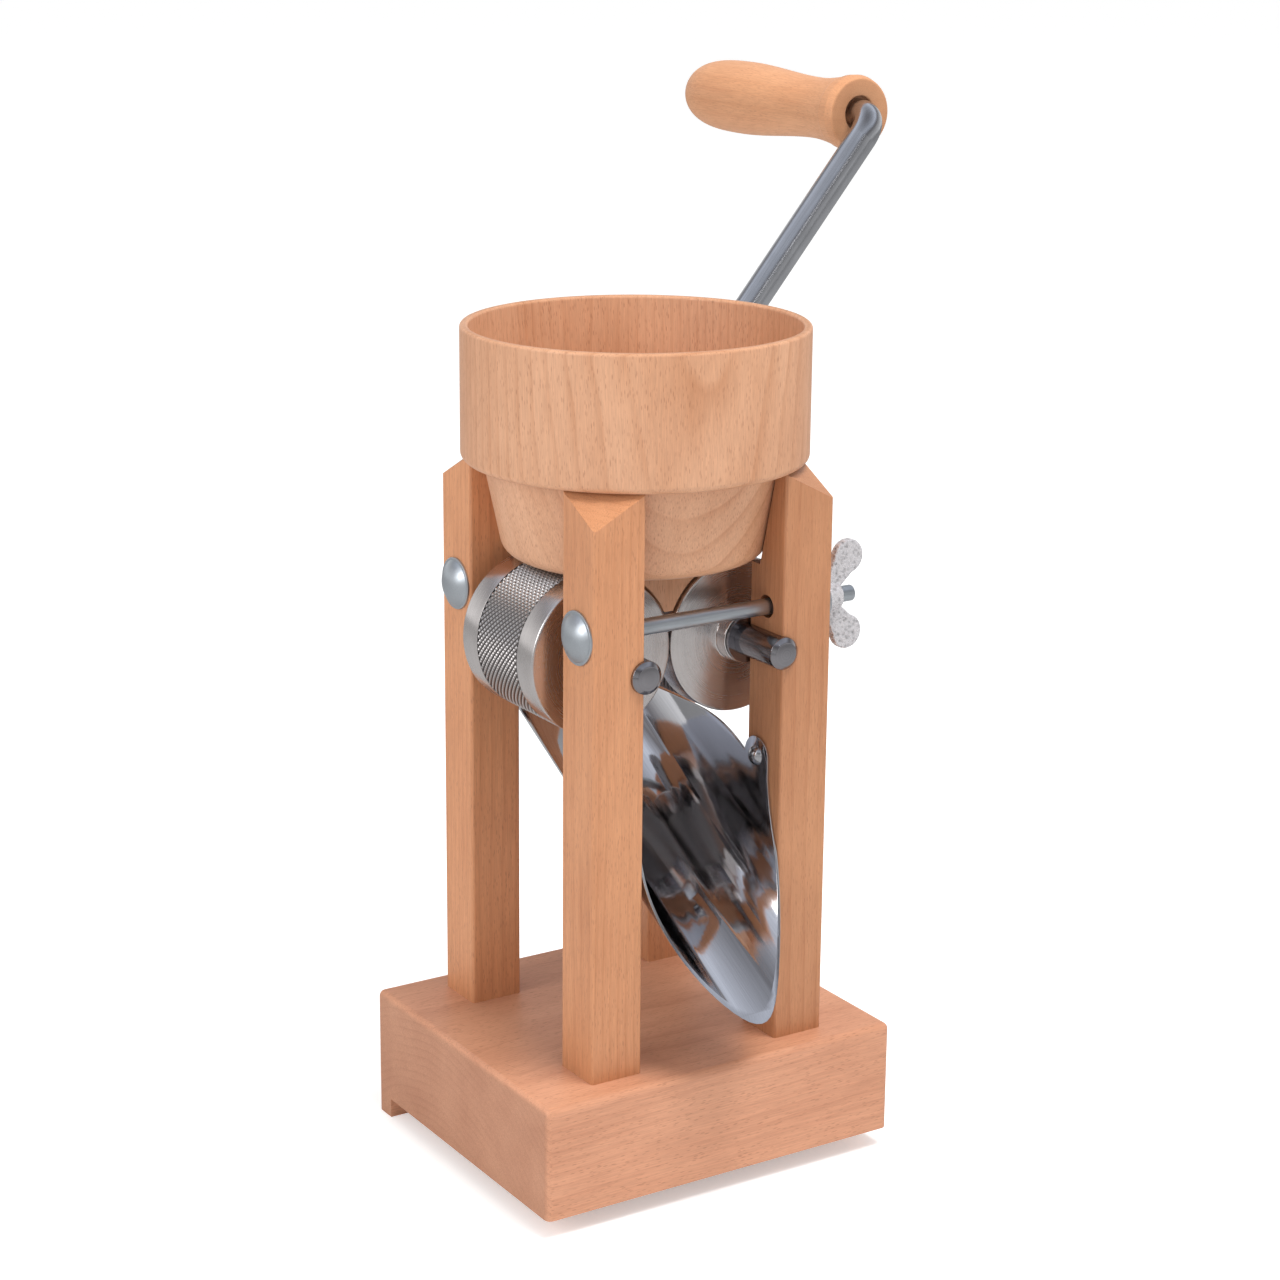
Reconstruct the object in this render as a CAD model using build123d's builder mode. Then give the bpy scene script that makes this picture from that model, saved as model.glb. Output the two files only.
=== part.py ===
from build123d import *

import os
from math import asin, cos, degrees, hypot, radians, sin, sqrt

# Hand-cranked grain flaker: two knurled steel rollers run in notches of four beech posts, under a
# turned beech hopper and over a steel chute, on a beech base that hooks over a table's edge.
# The origin is the middle of the base's underside, where it rests on a table; the lip hangs below
# it. +Z is up, the chute pours towards -Y, the crank stands behind the posts at +Y, and the crank
# drives the +X roller.

# Base: a block with a lip below its back edge
base_width = 150.0
base_depth = 128.0
base_height = 42.5
base_round = 2.5
lip_drop = 7.5
lip_thickness = 10.0

# Posts: square bars whose outer top corners are cut down aslant
post_side = 21.0
post_height = 214.0
post_round = 1.2
post_corner_drop = 11.0
axis_below_top = 65.1
axis_past_face = 0.2
tenon_diameter = 14.0
tenon_length = 18.0

# Screws up through the base into the posts
post_screw_diameter = 5.0
post_screw_head = 9.6
post_screw_length = 58.0

# Rollers and their shafts
roller_diameter = 57.9
roller_length = 49.5
roller_chamfer = 0.8
knurl_length = 27.5
knurl_groove = 0.5
nip_gap = 0.3
hub_diameter = 18.6
hub_length = 5.4
thrust_washer_diameter = 17.4
thrust_washer_thickness = 1.2
end_play = 0.95
shaft_diameter = 12.0
shaft_chamfer = 1.6
shaft_proud_front = 2.7
shaft_proud_back = 7.0
key_pin_diameter = 4.0
bearing_clearance = 0.05

# Hopper: a bowl with a step that sits on the posts, a cone below it, and two cheeks that
# reach down between the rollers
rim_diameter = 126.2
rim_above_posts = 49.0
hopper_wall = 3.0
seat_inside_post = 3.35
cone_foot_diameter = 95.2
cone_foot_round = 7.0
step_round = 2.8
rim_round = 1.3
hopper_clearance = 0.5
roller_clearance = 1.0
slot_width = 18.0
slot_length = 32.0
cheek_thickness = 7.5
cheek_reach = 17.5
bowl_depth = 33.0
bowl_taper = 2.5
bowl_floor_diameter = 40.0
hopper_floor = 6.0

# Squeeze bolts: a domed head and square neck, a plain shank and a wing nut
bolt_above_axis = 14.8
bolt_diameter = 6.0
bolt_head_diameter = 19.5
bolt_head_height = 4.6
bolt_neck_side = 6.4
bolt_neck_length = 4.5
bolt_tail = 6.5
bolt_clearance_hole = 8.4
bolt_washer_diameter = 18.0
bolt_washer_thickness = 1.6
nut_height = 8.5
nut_foot_diameter = 12.0
nut_top_diameter = 9.5
nut_clearance = 0.05
wing_reach = 14.2
wing_rise = 9.0
wing_lobe_diameter = 12.4
wing_thickness = 2.8

# Crank: a bent bar with a turned spigot, its lock nut and a loose wooden grip
crank_arm = 223.0
crank_lean = 40.0
crank_standoff = 27.7
crank_bend = 11.0
spigot_diameter = 8.0
spigot_length = 16.0
lock_nut_width = 13.0
lock_nut_height = 6.5
grip_gap = 11.2
grip_length = 118.0
grip_face_diameter = 29.0
grip_flange_diameter = 31.2
grip_neck_diameter = 25.4
grip_bulge_diameter = 31.2
grip_mouth_diameter = 14.4
grip_mouth_depth = 2.5
spindle_in_grip = 92.0
clip_width = 1.2
clip_depth = 0.7
clip_height = 1.6
clip_inset = 5.0

# Chute: a U-shaped sheet trough that slopes to the front and is cut to a spoon's lip
sheet = 1.0
chute_play = 0.15
chute_slope = 29.0
chute_headroom = 4.45
chute_past_post = 6.2
chute_drop = 90.5
chute_reach = 43.7
chute_lip_bow = 21.3
chute_lip_rise = 31.0
chute_lug_radius = 7.2
chute_lug_inset = 3.3
chute_lug_drop = 8.7
chute_lug_run = 22.9
chute_lug_dip = 2.2
chute_screw_diameter = 3.5
chute_screw_head = 7.6
chute_screw_head_height = 2.6
chute_screw_length = 13.0
chute_rear_screw_drop = 8.0

# Places that follow from the sizes
base_top = base_height
post_top = base_top + post_height
countersink_depth = (post_screw_head - post_screw_diameter) / 2
roller_radius = roller_diameter / 2
shaft_radius = shaft_diameter / 2
rim_radius = rim_diameter / 2
axis_x = roller_radius + nip_gap / 2
axis_z = post_top - axis_below_top
post_inner_x = axis_x + axis_past_face
post_inner_y = roller_length / 2 + hub_length + thrust_washer_thickness + end_play
post_x = post_inner_x + post_side / 2
post_y = post_inner_y + post_side / 2
post_outer_x = post_inner_x + post_side
post_outer_y = post_inner_y + post_side
step_radius = hypot(post_x, post_y) - seat_inside_post
hopper_foot_z = axis_z + roller_radius + roller_clearance
rim_z = post_top + rim_above_posts
bolt_z = axis_z + bolt_above_axis
nut_foot_x = post_outer_x + bolt_washer_thickness
crank_start = post_outer_y + shaft_proud_back
crank_plane = crank_start + crank_standoff
arm_x = axis_x + crank_arm * sin(radians(crank_lean))
arm_z = axis_z + crank_arm * cos(radians(crank_lean))
grip_y = crank_plane + grip_gap
spindle_end = grip_y + spindle_in_grip
clip_y = spindle_end - clip_inset
chute_half = post_inner_x - chute_play
chute_top_z = axis_z - roller_radius - chute_headroom
chute_tip_y = -post_y - chute_reach
chute_tip_z = chute_top_z - chute_drop
lug_y = chute_lug_inset - post_y
lug_z = chute_top_z - chute_lug_drop
chute_screw_places = ((lug_y, lug_z), (post_y, chute_top_z - chute_rear_screw_drop))
posts = {
    "post_front_left": (-1, -1),
    "post_front_right": (1, -1),
    "post_back_left": (-1, 1),
    "post_back_right": (1, 1),
}

os.makedirs("parts", exist_ok=True)


def rings(part, radius, height):
    """The circular edges of one radius that lie level at one height."""
    circles = part.edges().filter_by(GeomType.CIRCLE)
    return circles.filter_by(
        lambda e: abs(e.radius - radius) < 0.01 and abs(e.arc_center.Z - height) < 0.01
    )


def along_x(x, y, z):
    """A plane across the X axis with its centre at a point, facing +X."""
    return Plane(origin=(x, y, z), x_dir=(0, 1, 0), z_dir=(1, 0, 0))


def along_y(x, y, z):
    """A plane across the Y axis with its centre at a point, facing +Y."""
    return Plane(origin=(x, y, z), x_dir=(-1, 0, 0), z_dir=(0, 1, 0))


# Base
with BuildPart() as base:
    with BuildSketch(Plane.XY.offset(-lip_drop)):
        Rectangle(base_width, base_depth)
    extrude(amount=lip_drop + base_height)
    fillet(base.edges().filter_by(Axis.Z), base_round)
    fillet(base.faces().sort_by(Axis.Z)[-1].edges(), base_round)
    with BuildSketch(Plane.XY):
        with Locations((0, -lip_thickness)):
            Rectangle(base_width, base_depth)
    extrude(amount=-lip_drop, mode=Mode.SUBTRACT)
    with BuildSketch(Plane.XY.offset(base_top)):
        with GridLocations(2 * post_x, 2 * post_y, 2, 2):
            Circle(tenon_diameter / 2)
    extrude(amount=-tenon_length, mode=Mode.SUBTRACT)
    with BuildSketch(Plane.XY):
        with GridLocations(2 * post_x, 2 * post_y, 2, 2):
            Circle(post_screw_diameter / 2)
    extrude(amount=base_height, mode=Mode.SUBTRACT)
    with BuildSketch(Plane.XY):
        with GridLocations(2 * post_x, 2 * post_y, 2, 2):
            Circle(post_screw_head / 2)
    extrude(amount=countersink_depth, taper=45, mode=Mode.SUBTRACT)
base.part.label = "base"
export_step(base.part, "parts/base.step")

# Screws that hold the posts, countersunk into the underside
with BuildPart() as post_screws:
    with BuildSketch(Plane.XY):
        with GridLocations(2 * post_x, 2 * post_y, 2, 2):
            Circle(post_screw_head / 2)
    extrude(amount=countersink_depth, taper=45)
    with BuildSketch(Plane.XY):
        with GridLocations(2 * post_x, 2 * post_y, 2, 2):
            Circle(post_screw_diameter / 2)
    extrude(amount=post_screw_length)
post_screws.part.label = "post_screws"
export_step(post_screws.part, "parts/post_screws.step")

# Posts
for name, (side, end) in posts.items():
    with BuildPart() as post:
        with BuildSketch(Plane.XY.offset(base_top)) as foot:
            with Locations((side * post_x, end * post_y)):
                Rectangle(post_side, post_side)
            fillet(foot.vertices(), post_round)
        extrude(amount=post_height)

        # The outer top corner falls away from the diagonal of the bar's end.
        diagonal = Vector(side / sqrt(2), end / sqrt(2), 0)
        corner_plane = Plane(
            origin=(side * post_x, end * post_y, post_top),
            x_dir=diagonal,
            z_dir=diagonal.cross(Vector(0, 0, 1)),
        )
        with BuildSketch(corner_plane):
            half_diagonal = post_side / sqrt(2)
            with BuildLine():
                Polyline(
                    (0, 0),
                    (2 * half_diagonal, -2 * post_corner_drop),
                    (2 * half_diagonal, 1),
                    (0, 1),
                    close=True,
                )
            make_face()
        extrude(amount=post_side, both=True, mode=Mode.SUBTRACT)

        # Room for the hopper's cone
        with BuildSketch(Plane.XZ):
            with BuildLine():
                Polyline(
                    (0, hopper_foot_z - hopper_clearance),
                    (cone_foot_diameter / 2 + hopper_clearance, hopper_foot_z - hopper_clearance),
                    (step_radius + hopper_clearance, post_top),
                    (0, post_top),
                    close=True,
                )
            make_face()
        revolve(axis=Axis.Z, mode=Mode.SUBTRACT)

        # Open bearing notch for the shaft
        with BuildSketch(along_y(side * axis_x, end * post_y, axis_z)):
            Circle(shaft_radius + bearing_clearance)
        extrude(amount=post_side, both=True, mode=Mode.SUBTRACT)

        # Bolt hole: square for the neck on the head's side, wide on the nut's side
        with BuildSketch(along_x(side * post_x, end * post_y, bolt_z)):
            if side > 0:
                Circle(bolt_clearance_hole / 2)
            else:
                Circle(bolt_diameter / 2)
        extrude(amount=post_side, both=True, mode=Mode.SUBTRACT)
        if side < 0:
            with BuildSketch(along_x(-post_outer_x, end * post_y, bolt_z)):
                Rectangle(bolt_neck_side, bolt_neck_side)
            extrude(amount=bolt_neck_length, mode=Mode.SUBTRACT)

        # Pilot hole for the chute's screw
        screw_y, screw_z = chute_screw_places[0 if end < 0 else 1]
        with BuildSketch(along_x(side * post_inner_x, screw_y, screw_z)):
            Circle(chute_screw_diameter / 2)
        extrude(amount=side * chute_screw_length, mode=Mode.SUBTRACT)

        # Tenon and the screw's pilot hole
        with BuildSketch(Plane.XY.offset(base_top - tenon_length)):
            with Locations((side * post_x, end * post_y)):
                Circle(tenon_diameter / 2)
        extrude(amount=tenon_length)
        with BuildSketch(Plane.XY):
            with Locations((side * post_x, end * post_y)):
                Circle(post_screw_diameter / 2)
        extrude(amount=post_screw_length, mode=Mode.SUBTRACT)
    post.part.label = name
    export_step(post.part, f"parts/{name}.step")

# Hopper
with BuildPart() as hopper:
    with BuildSketch(Plane.XZ):
        with BuildLine():
            Polyline(
                (0, hopper_foot_z),
                (cone_foot_diameter / 2, hopper_foot_z),
                (step_radius, post_top),
                (rim_radius, post_top),
                (rim_radius, rim_z),
                (0, rim_z),
                close=True,
            )
        make_face()
    revolve(axis=Axis.Z)
    with BuildSketch(Plane.XZ):
        mouth = (rim_radius - hopper_wall, rim_z)
        wall_foot = (rim_radius - hopper_wall - bowl_taper, rim_z - bowl_depth)
        bowl_floor = (bowl_floor_diameter / 2, hopper_foot_z + hopper_floor)
        with BuildLine():
            wall_line = Line(mouth, wall_foot)
            curve = TangentArc(wall_foot, bowl_floor, tangent=wall_line % 1)
            Polyline(bowl_floor, (0, hopper_foot_z + hopper_floor), (0, rim_z), mouth)
        make_face()
    revolve(axis=Axis.Z, mode=Mode.SUBTRACT)
    fillet(rings(hopper, cone_foot_diameter / 2, hopper_foot_z), cone_foot_round)
    fillet(rings(hopper, rim_radius, post_top), step_round)
    fillet(rings(hopper, rim_radius, rim_z) + rings(hopper, mouth[0], rim_z), rim_round)
    with BuildSketch(Plane.XY.offset(hopper_foot_z)):
        Rectangle(slot_width, slot_length)
    extrude(amount=hopper_floor * 2, mode=Mode.SUBTRACT)
    for end in (-1, 1):
        cheek_y = end * (slot_length + cheek_thickness) / 2
        with BuildSketch(along_y(0, cheek_y, hopper_foot_z)):
            with Locations((0, (hopper_floor / 2 - cheek_reach) / 2)):
                Rectangle(2 * axis_x, cheek_reach + hopper_floor / 2)
            with Locations((-axis_x, axis_z - hopper_foot_z), (axis_x, axis_z - hopper_foot_z)):
                Circle(roller_radius + roller_clearance, mode=Mode.SUBTRACT)
        extrude(amount=cheek_thickness / 2, both=True)
hopper.part.label = "hopper"
export_step(hopper.part, "parts/hopper.step")

# Rollers, shafts and what is on them
for name, side in (("left", -1), ("right", 1)):
    spin_axis = Axis((side * axis_x, 0, axis_z), (0, 1, 0))
    half = roller_length / 2
    with BuildPart() as roller:
        with BuildSketch(Plane.XY.offset(axis_z)):
            with Locations((side * axis_x + roller_radius / 2, 0)):
                Rectangle(roller_radius, roller_length)
            with Locations((side * axis_x + hub_diameter / 4, 0)):
                Rectangle(hub_diameter / 2, roller_length + 2 * hub_length)
            with Locations((side * axis_x + shaft_radius / 2, 0)):
                Rectangle(shaft_radius, roller_length + 2 * hub_length, mode=Mode.SUBTRACT)
            with Locations(
                (side * axis_x + roller_radius, -knurl_length / 2),
                (side * axis_x + roller_radius, knurl_length / 2),
            ):
                Rectangle(knurl_groove, knurl_groove, mode=Mode.SUBTRACT)
        revolve(axis=spin_axis)
        outer_edges = roller.edges().filter_by(GeomType.CIRCLE).filter_by(
            lambda e: abs(e.radius - roller_radius) < 0.01 and abs(abs(e.arc_center.Y) - half) < 0.01
        )
        chamfer(outer_edges, roller_chamfer)
        with BuildSketch(along_y(side * axis_x, 0, axis_z).rotated((90, 0, 0))):
            Circle(key_pin_diameter / 2)
        extrude(amount=roller_radius, both=True, mode=Mode.SUBTRACT)
    roller.part.label = f"{name}_roller"
    export_step(roller.part, f"parts/{name}_roller.step")

    shaft_front = -post_outer_y - shaft_proud_front
    shaft_back = post_outer_y + (shaft_proud_back if side > 0 else shaft_proud_front)
    with BuildPart() as shaft:
        with BuildSketch(along_y(side * axis_x, shaft_front, axis_z)):
            Circle(shaft_radius)
        extrude(amount=shaft_back - shaft_front)
        chamfer(shaft.edges().filter_by(GeomType.CIRCLE).sort_by(Axis.Y)[0], shaft_chamfer)
        if side > 0:
            with BuildSketch(along_y(axis_x, shaft_back, axis_z)):
                Circle(spigot_diameter / 2)
            extrude(amount=-spigot_length, mode=Mode.SUBTRACT)
        else:
            chamfer(shaft.edges().filter_by(GeomType.CIRCLE).sort_by(Axis.Y)[-1], shaft_chamfer)
        with BuildSketch(Plane.XY.offset(axis_z)):
            with Locations((side * axis_x, 0)):
                Circle(key_pin_diameter / 2)
        extrude(amount=shaft_radius, both=True, mode=Mode.SUBTRACT)
    shaft.part.label = f"{name}_shaft"
    export_step(shaft.part, f"parts/{name}_shaft.step")

    # A pin through roller and shaft, ground flush below the knurl
    with BuildPart() as roller_pin:
        with BuildSketch(Plane.XY.offset(axis_z)):
            with Locations((side * axis_x, 0)):
                Circle(key_pin_diameter / 2)
        extrude(amount=roller_radius - 1, both=True)
    roller_pin.part.label = f"{name}_roller_pin"
    export_step(roller_pin.part, f"parts/{name}_roller_pin.step")

    with BuildPart() as thrust_washers:
        for end in (-1, 1):
            inner_y = end * (half + hub_length + end_play / 2)
            with BuildSketch(along_y(side * axis_x, inner_y, axis_z)):
                Circle(thrust_washer_diameter / 2)
                Circle(shaft_radius + bearing_clearance, mode=Mode.SUBTRACT)
            extrude(amount=end * thrust_washer_thickness)
    thrust_washers.part.label = f"{name}_thrust_washers"
    export_step(thrust_washers.part, f"parts/{name}_thrust_washers.step")

# Squeeze bolts with their washers and wing nuts
for name, end in (("front", -1), ("back", 1)):
    bolt_y = end * post_y
    bolt_axis = Axis((0, bolt_y, bolt_z), (1, 0, 0))
    with BuildPart() as bolt:
        with BuildSketch(Plane.XY.offset(bolt_z)):
            head_x = -post_outer_x
            end_x = nut_foot_x + nut_height + bolt_tail
            shank = bolt_y + bolt_diameter / 2
            end_chamfer = bolt_diameter / 8
            dome_radius = (bolt_head_diameter**2 / 4 + bolt_head_height**2) / (2 * bolt_head_height)
            with BuildLine():
                Polyline(
                    (head_x - bolt_head_height, bolt_y),
                    (end_x, bolt_y),
                    (end_x, shank - end_chamfer),
                    (end_x - end_chamfer, shank),
                    (head_x, shank),
                    (head_x, bolt_y + bolt_head_diameter / 2),
                )
                CenterArc(
                    center=(head_x - bolt_head_height + dome_radius, bolt_y),
                    radius=dome_radius,
                    start_angle=180,
                    arc_size=-degrees(asin(bolt_head_diameter / 2 / dome_radius)),
                )
            make_face()
        revolve(axis=bolt_axis)
        with BuildSketch(along_x(head_x, bolt_y, bolt_z)):
            Rectangle(bolt_neck_side, bolt_neck_side)
        extrude(amount=bolt_neck_length)
    bolt.part.label = f"{name}_bolt"
    export_step(bolt.part, f"parts/{name}_bolt.step")

    with BuildPart() as bolt_washer:
        with BuildSketch(along_x(post_outer_x, bolt_y, bolt_z)):
            Circle(bolt_washer_diameter / 2)
            Circle(bolt_diameter / 2 + nut_clearance, mode=Mode.SUBTRACT)
        extrude(amount=bolt_washer_thickness)
    bolt_washer.part.label = f"{name}_washer"
    export_step(bolt_washer.part, f"parts/{name}_washer.step")

    with BuildPart() as wing_nut:
        with BuildSketch(Plane.XY.offset(bolt_z)):
            with BuildLine():
                Polyline(
                    (nut_foot_x, bolt_y),
                    (nut_foot_x, bolt_y + nut_foot_diameter / 2),
                    (nut_foot_x + nut_height, bolt_y + nut_top_diameter / 2),
                    (nut_foot_x + nut_height, bolt_y),
                    close=True,
                )
            make_face()
        revolve(axis=bolt_axis)
        for up in (-1, 1):
            lobe = (nut_foot_x + wing_rise + nut_height / 2, bolt_z + up * wing_reach)
            with BuildSketch(Plane.XZ.offset(-bolt_y)):
                with BuildLine():
                    Polyline(
                        (nut_foot_x + nut_height * 0.15, bolt_z + up * nut_top_diameter * 0.45),
                        (nut_foot_x + nut_height, bolt_z + up * nut_top_diameter * 0.3),
                        (lobe[0] + wing_lobe_diameter * 0.3, lobe[1] - up * wing_lobe_diameter * 0.4),
                        (lobe[0] - wing_lobe_diameter * 0.3, lobe[1] + up * wing_lobe_diameter * 0.4),
                        close=True,
                    )
                make_face()
                with Locations(lobe):
                    Circle(wing_lobe_diameter / 2)
            extrude(amount=wing_thickness / 2, both=True)
        with BuildSketch(along_x(nut_foot_x, bolt_y, bolt_z)):
            Circle(bolt_diameter / 2 + nut_clearance)
        extrude(amount=nut_height * 4, mode=Mode.SUBTRACT)
    wing_nut.part.label = f"{name}_wing_nut"
    export_step(wing_nut.part, f"parts/{name}_wing_nut.step")

# Crank bar: a spigot in the shaft's end, the leaning arm, and the spindle of the grip
with BuildPart() as crank_rod:
    with BuildLine():
        FilletPolyline(
            (axis_x, crank_start + lock_nut_height, axis_z),
            (axis_x, crank_plane, axis_z),
            (arm_x, crank_plane, arm_z),
            (arm_x, spindle_end, arm_z),
            radius=crank_bend,
        )
    with BuildSketch(along_y(axis_x, crank_start + lock_nut_height, axis_z)):
        Circle(shaft_radius)
    sweep()
    with BuildSketch(along_y(axis_x, crank_start + lock_nut_height, axis_z)):
        Circle(spigot_diameter / 2)
    extrude(amount=-lock_nut_height - spigot_length)
    with BuildSketch(along_y(arm_x, clip_y, arm_z)):
        Circle(shaft_diameter)
        Circle(shaft_radius - clip_depth, mode=Mode.SUBTRACT)
    extrude(amount=clip_width, mode=Mode.SUBTRACT)
crank_rod.part.label = "crank_rod"
export_step(crank_rod.part, "parts/crank_rod.step")

with BuildPart() as crank_lock_nut:
    with BuildSketch(along_y(axis_x, crank_start, axis_z)):
        RegularPolygon(lock_nut_width / 2, 6, major_radius=False)
        Circle(spigot_diameter / 2, mode=Mode.SUBTRACT)
    extrude(amount=lock_nut_height)
crank_lock_nut.part.label = "crank_lock_nut"
export_step(crank_lock_nut.part, "parts/crank_lock_nut.step")

# Spring clip in the spindle's groove, inside the grip
with BuildPart() as grip_clip:
    with BuildSketch(along_y(arm_x, clip_y, arm_z)):
        Circle(shaft_radius + clip_height)
        Circle(shaft_radius - clip_depth, mode=Mode.SUBTRACT)
        with Locations((0, shaft_radius)):
            Rectangle(shaft_radius, shaft_diameter, mode=Mode.SUBTRACT)
    extrude(amount=clip_width)
grip_clip.part.label = "grip_clip"
export_step(grip_clip.part, "parts/grip_clip.step")

# Grip: a turned handle that is free on the spindle
with BuildPart() as grip:
    grip_axis = Axis((arm_x, 0, arm_z), (0, 1, 0))
    with BuildSketch(Plane.XY.offset(arm_z)):
        with BuildLine():
            Polyline(
                (arm_x, grip_y + grip_length),
                (arm_x, grip_y),
                (arm_x + grip_face_diameter / 2, grip_y),
                (arm_x + grip_flange_diameter / 2, grip_y + grip_length * 0.02),
                (arm_x + grip_flange_diameter / 2, grip_y + grip_length * 0.045),
            )
            Spline(
                (arm_x + grip_flange_diameter / 2, grip_y + grip_length * 0.045),
                (arm_x + grip_neck_diameter / 2, grip_y + grip_length * 0.2),
                (arm_x + grip_bulge_diameter / 2, grip_y + grip_length * 0.64),
                (arm_x + grip_bulge_diameter * 0.37, grip_y + grip_length * 0.93),
                (arm_x, grip_y + grip_length),
                tangents=((-1, 1), (-1, 0)),
            )
        make_face()
    revolve(axis=grip_axis)
    with BuildSketch(along_y(arm_x, grip_y, arm_z)):
        Circle(shaft_radius + bearing_clearance)
    extrude(amount=spindle_in_grip + 2, mode=Mode.SUBTRACT)
    with BuildSketch(along_y(arm_x, grip_y, arm_z)):
        Circle(grip_mouth_diameter / 2)
    extrude(amount=grip_mouth_depth, mode=Mode.SUBTRACT)
    with BuildSketch(along_y(arm_x, clip_y - bearing_clearance, arm_z)):
        Circle(shaft_radius + clip_height + bearing_clearance)
    extrude(amount=clip_width + 2 * bearing_clearance, mode=Mode.SUBTRACT)
grip.part.label = "grip"
export_step(grip.part, "parts/grip.step")

# Chute
slope = radians(chute_slope)
trough_plane = Plane(
    origin=(0, chute_tip_y, chute_tip_z),
    x_dir=(1, 0, 0),
    z_dir=(0, -cos(slope), -sin(slope)),
)
trough_run = 3 * base_depth
with BuildPart() as chute:
    # The trough's U section, open upwards, run back along the slope
    with BuildSketch(trough_plane):
        with Locations((0, chute_half)):
            Circle(chute_half)
            Circle(chute_half - sheet, mode=Mode.SUBTRACT)
        with Locations((0, chute_half + trough_run / 2)):
            Rectangle(2 * chute_half, trough_run, mode=Mode.SUBTRACT)
            Rectangle(2 * chute_half, trough_run)
            Rectangle(2 * (chute_half - sheet), trough_run, mode=Mode.SUBTRACT)
    extrude(amount=-trough_run)
    # The side view: level behind, a lug for the screw, and the curved cut down to the lip
    with BuildSketch(Plane.YZ):
        lug_front = (lug_y - chute_lug_radius, lug_z - chute_lug_radius)
        lug_back = (lug_y + chute_lug_radius, lug_z)
        with BuildLine():
            Polyline(lug_front, (lug_front[0], lug_z))
            ThreePointArc((lug_front[0], lug_z), (lug_y, lug_z + chute_lug_radius), lug_back)
            ThreePointArc(
                lug_back,
                (lug_y + chute_lug_run, chute_top_z - chute_lug_dip),
                (0, chute_top_z),
            )
            Polyline(
                (0, chute_top_z),
                (post_y + chute_past_post, chute_top_z),
                (post_y + chute_past_post, base_top),
                (chute_tip_y, base_top),
                (chute_tip_y, chute_tip_z),
            )
            ThreePointArc(
                (chute_tip_y, chute_tip_z),
                (lug_y - chute_lip_bow, chute_tip_z + chute_lip_rise),
                lug_front,
            )
        make_face()
    extrude(amount=post_inner_x, both=True, mode=Mode.INTERSECT)
    for screw_y, screw_z in chute_screw_places:
        with BuildSketch(along_x(0, screw_y, screw_z)):
            Circle(chute_screw_diameter / 2)
        extrude(amount=post_inner_x, both=True, mode=Mode.SUBTRACT)
chute.part.label = "chute"
export_step(chute.part, "parts/chute.step")

# Round-headed screws from inside the chute into the posts
with BuildPart() as chute_screws:
    head_x = chute_half - sheet
    for side in (-1, 1):
        for screw_y, screw_z in chute_screw_places:
            with BuildSketch(along_x(side * head_x, screw_y, screw_z)):
                Circle(chute_screw_head / 2)
            extrude(amount=-side * chute_screw_head_height)
            with BuildSketch(along_x(side * head_x, screw_y, screw_z)):
                Circle(chute_screw_diameter / 2)
            extrude(amount=side * (post_inner_x - head_x + chute_screw_length))
    fillet(
        chute_screws.edges().filter_by(GeomType.CIRCLE).filter_by(
            lambda e: abs(e.radius - chute_screw_head / 2) < 0.01
            and abs(abs(e.arc_center.X) - head_x + chute_screw_head_height) < 0.01
        ),
        chute_screw_head_height * 0.7,
    )
chute_screws.part.label = "chute_screws"
export_step(chute_screws.part, "parts/chute_screws.step")
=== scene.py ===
import logging
import math
from dataclasses import dataclass, field
from enum import Enum
from typing import Callable, Iterable, Sequence

import bpy
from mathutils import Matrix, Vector


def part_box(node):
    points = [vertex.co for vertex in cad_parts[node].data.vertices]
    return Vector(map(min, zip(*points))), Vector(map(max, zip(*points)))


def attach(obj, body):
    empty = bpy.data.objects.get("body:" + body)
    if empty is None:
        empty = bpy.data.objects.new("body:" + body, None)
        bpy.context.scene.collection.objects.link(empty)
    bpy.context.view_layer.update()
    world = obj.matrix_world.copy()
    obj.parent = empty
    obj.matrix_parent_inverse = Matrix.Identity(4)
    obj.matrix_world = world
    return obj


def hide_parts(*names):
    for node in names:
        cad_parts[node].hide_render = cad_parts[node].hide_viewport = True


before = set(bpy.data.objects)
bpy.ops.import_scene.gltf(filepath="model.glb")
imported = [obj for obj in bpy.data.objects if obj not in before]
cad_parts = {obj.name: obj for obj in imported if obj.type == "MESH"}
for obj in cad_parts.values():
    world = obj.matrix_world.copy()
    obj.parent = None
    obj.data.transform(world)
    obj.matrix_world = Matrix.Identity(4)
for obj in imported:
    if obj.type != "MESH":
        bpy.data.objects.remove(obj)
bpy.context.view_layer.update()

log = logging.getLogger("grain_flaker")
MM = 0.001
"""One millimetre in the frame's metres."""


class Body(Enum):
    """The moving bodies of the mill."""

    STAND = "stand"
    HOPPER = "hopper"
    CRANK = "crank"
    IDLE_ROLLER = "idle_roller"
    GRIP = "grip"
    FRONT_WASHER = "front_washer"
    BACK_WASHER = "back_washer"
    FRONT_NUT = "front_nut"
    BACK_NUT = "back_nut"


class Slot(Enum):
    """The finishes that the maker's list names."""

    BEECH = "beech"
    TURNED = "turned_steel"
    BAR = "bright_bar"
    PLATED = "plated_steel"
    WING = "cast_wing"
    SHEET = "polished_sheet"
    SCREW = "screw_steel"


class Along(Enum):
    """The frame axis that a grain, a bar or a turning runs along."""

    X = 0
    Y = 1
    Z = 2


class Marks(Enum):
    """How a metal was made, which sets the run of its fine marks."""

    DRAWN = "drawn_marks"
    TURNED = "turning_marks"


# ---------------------------------------------------------------- finishes


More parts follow.
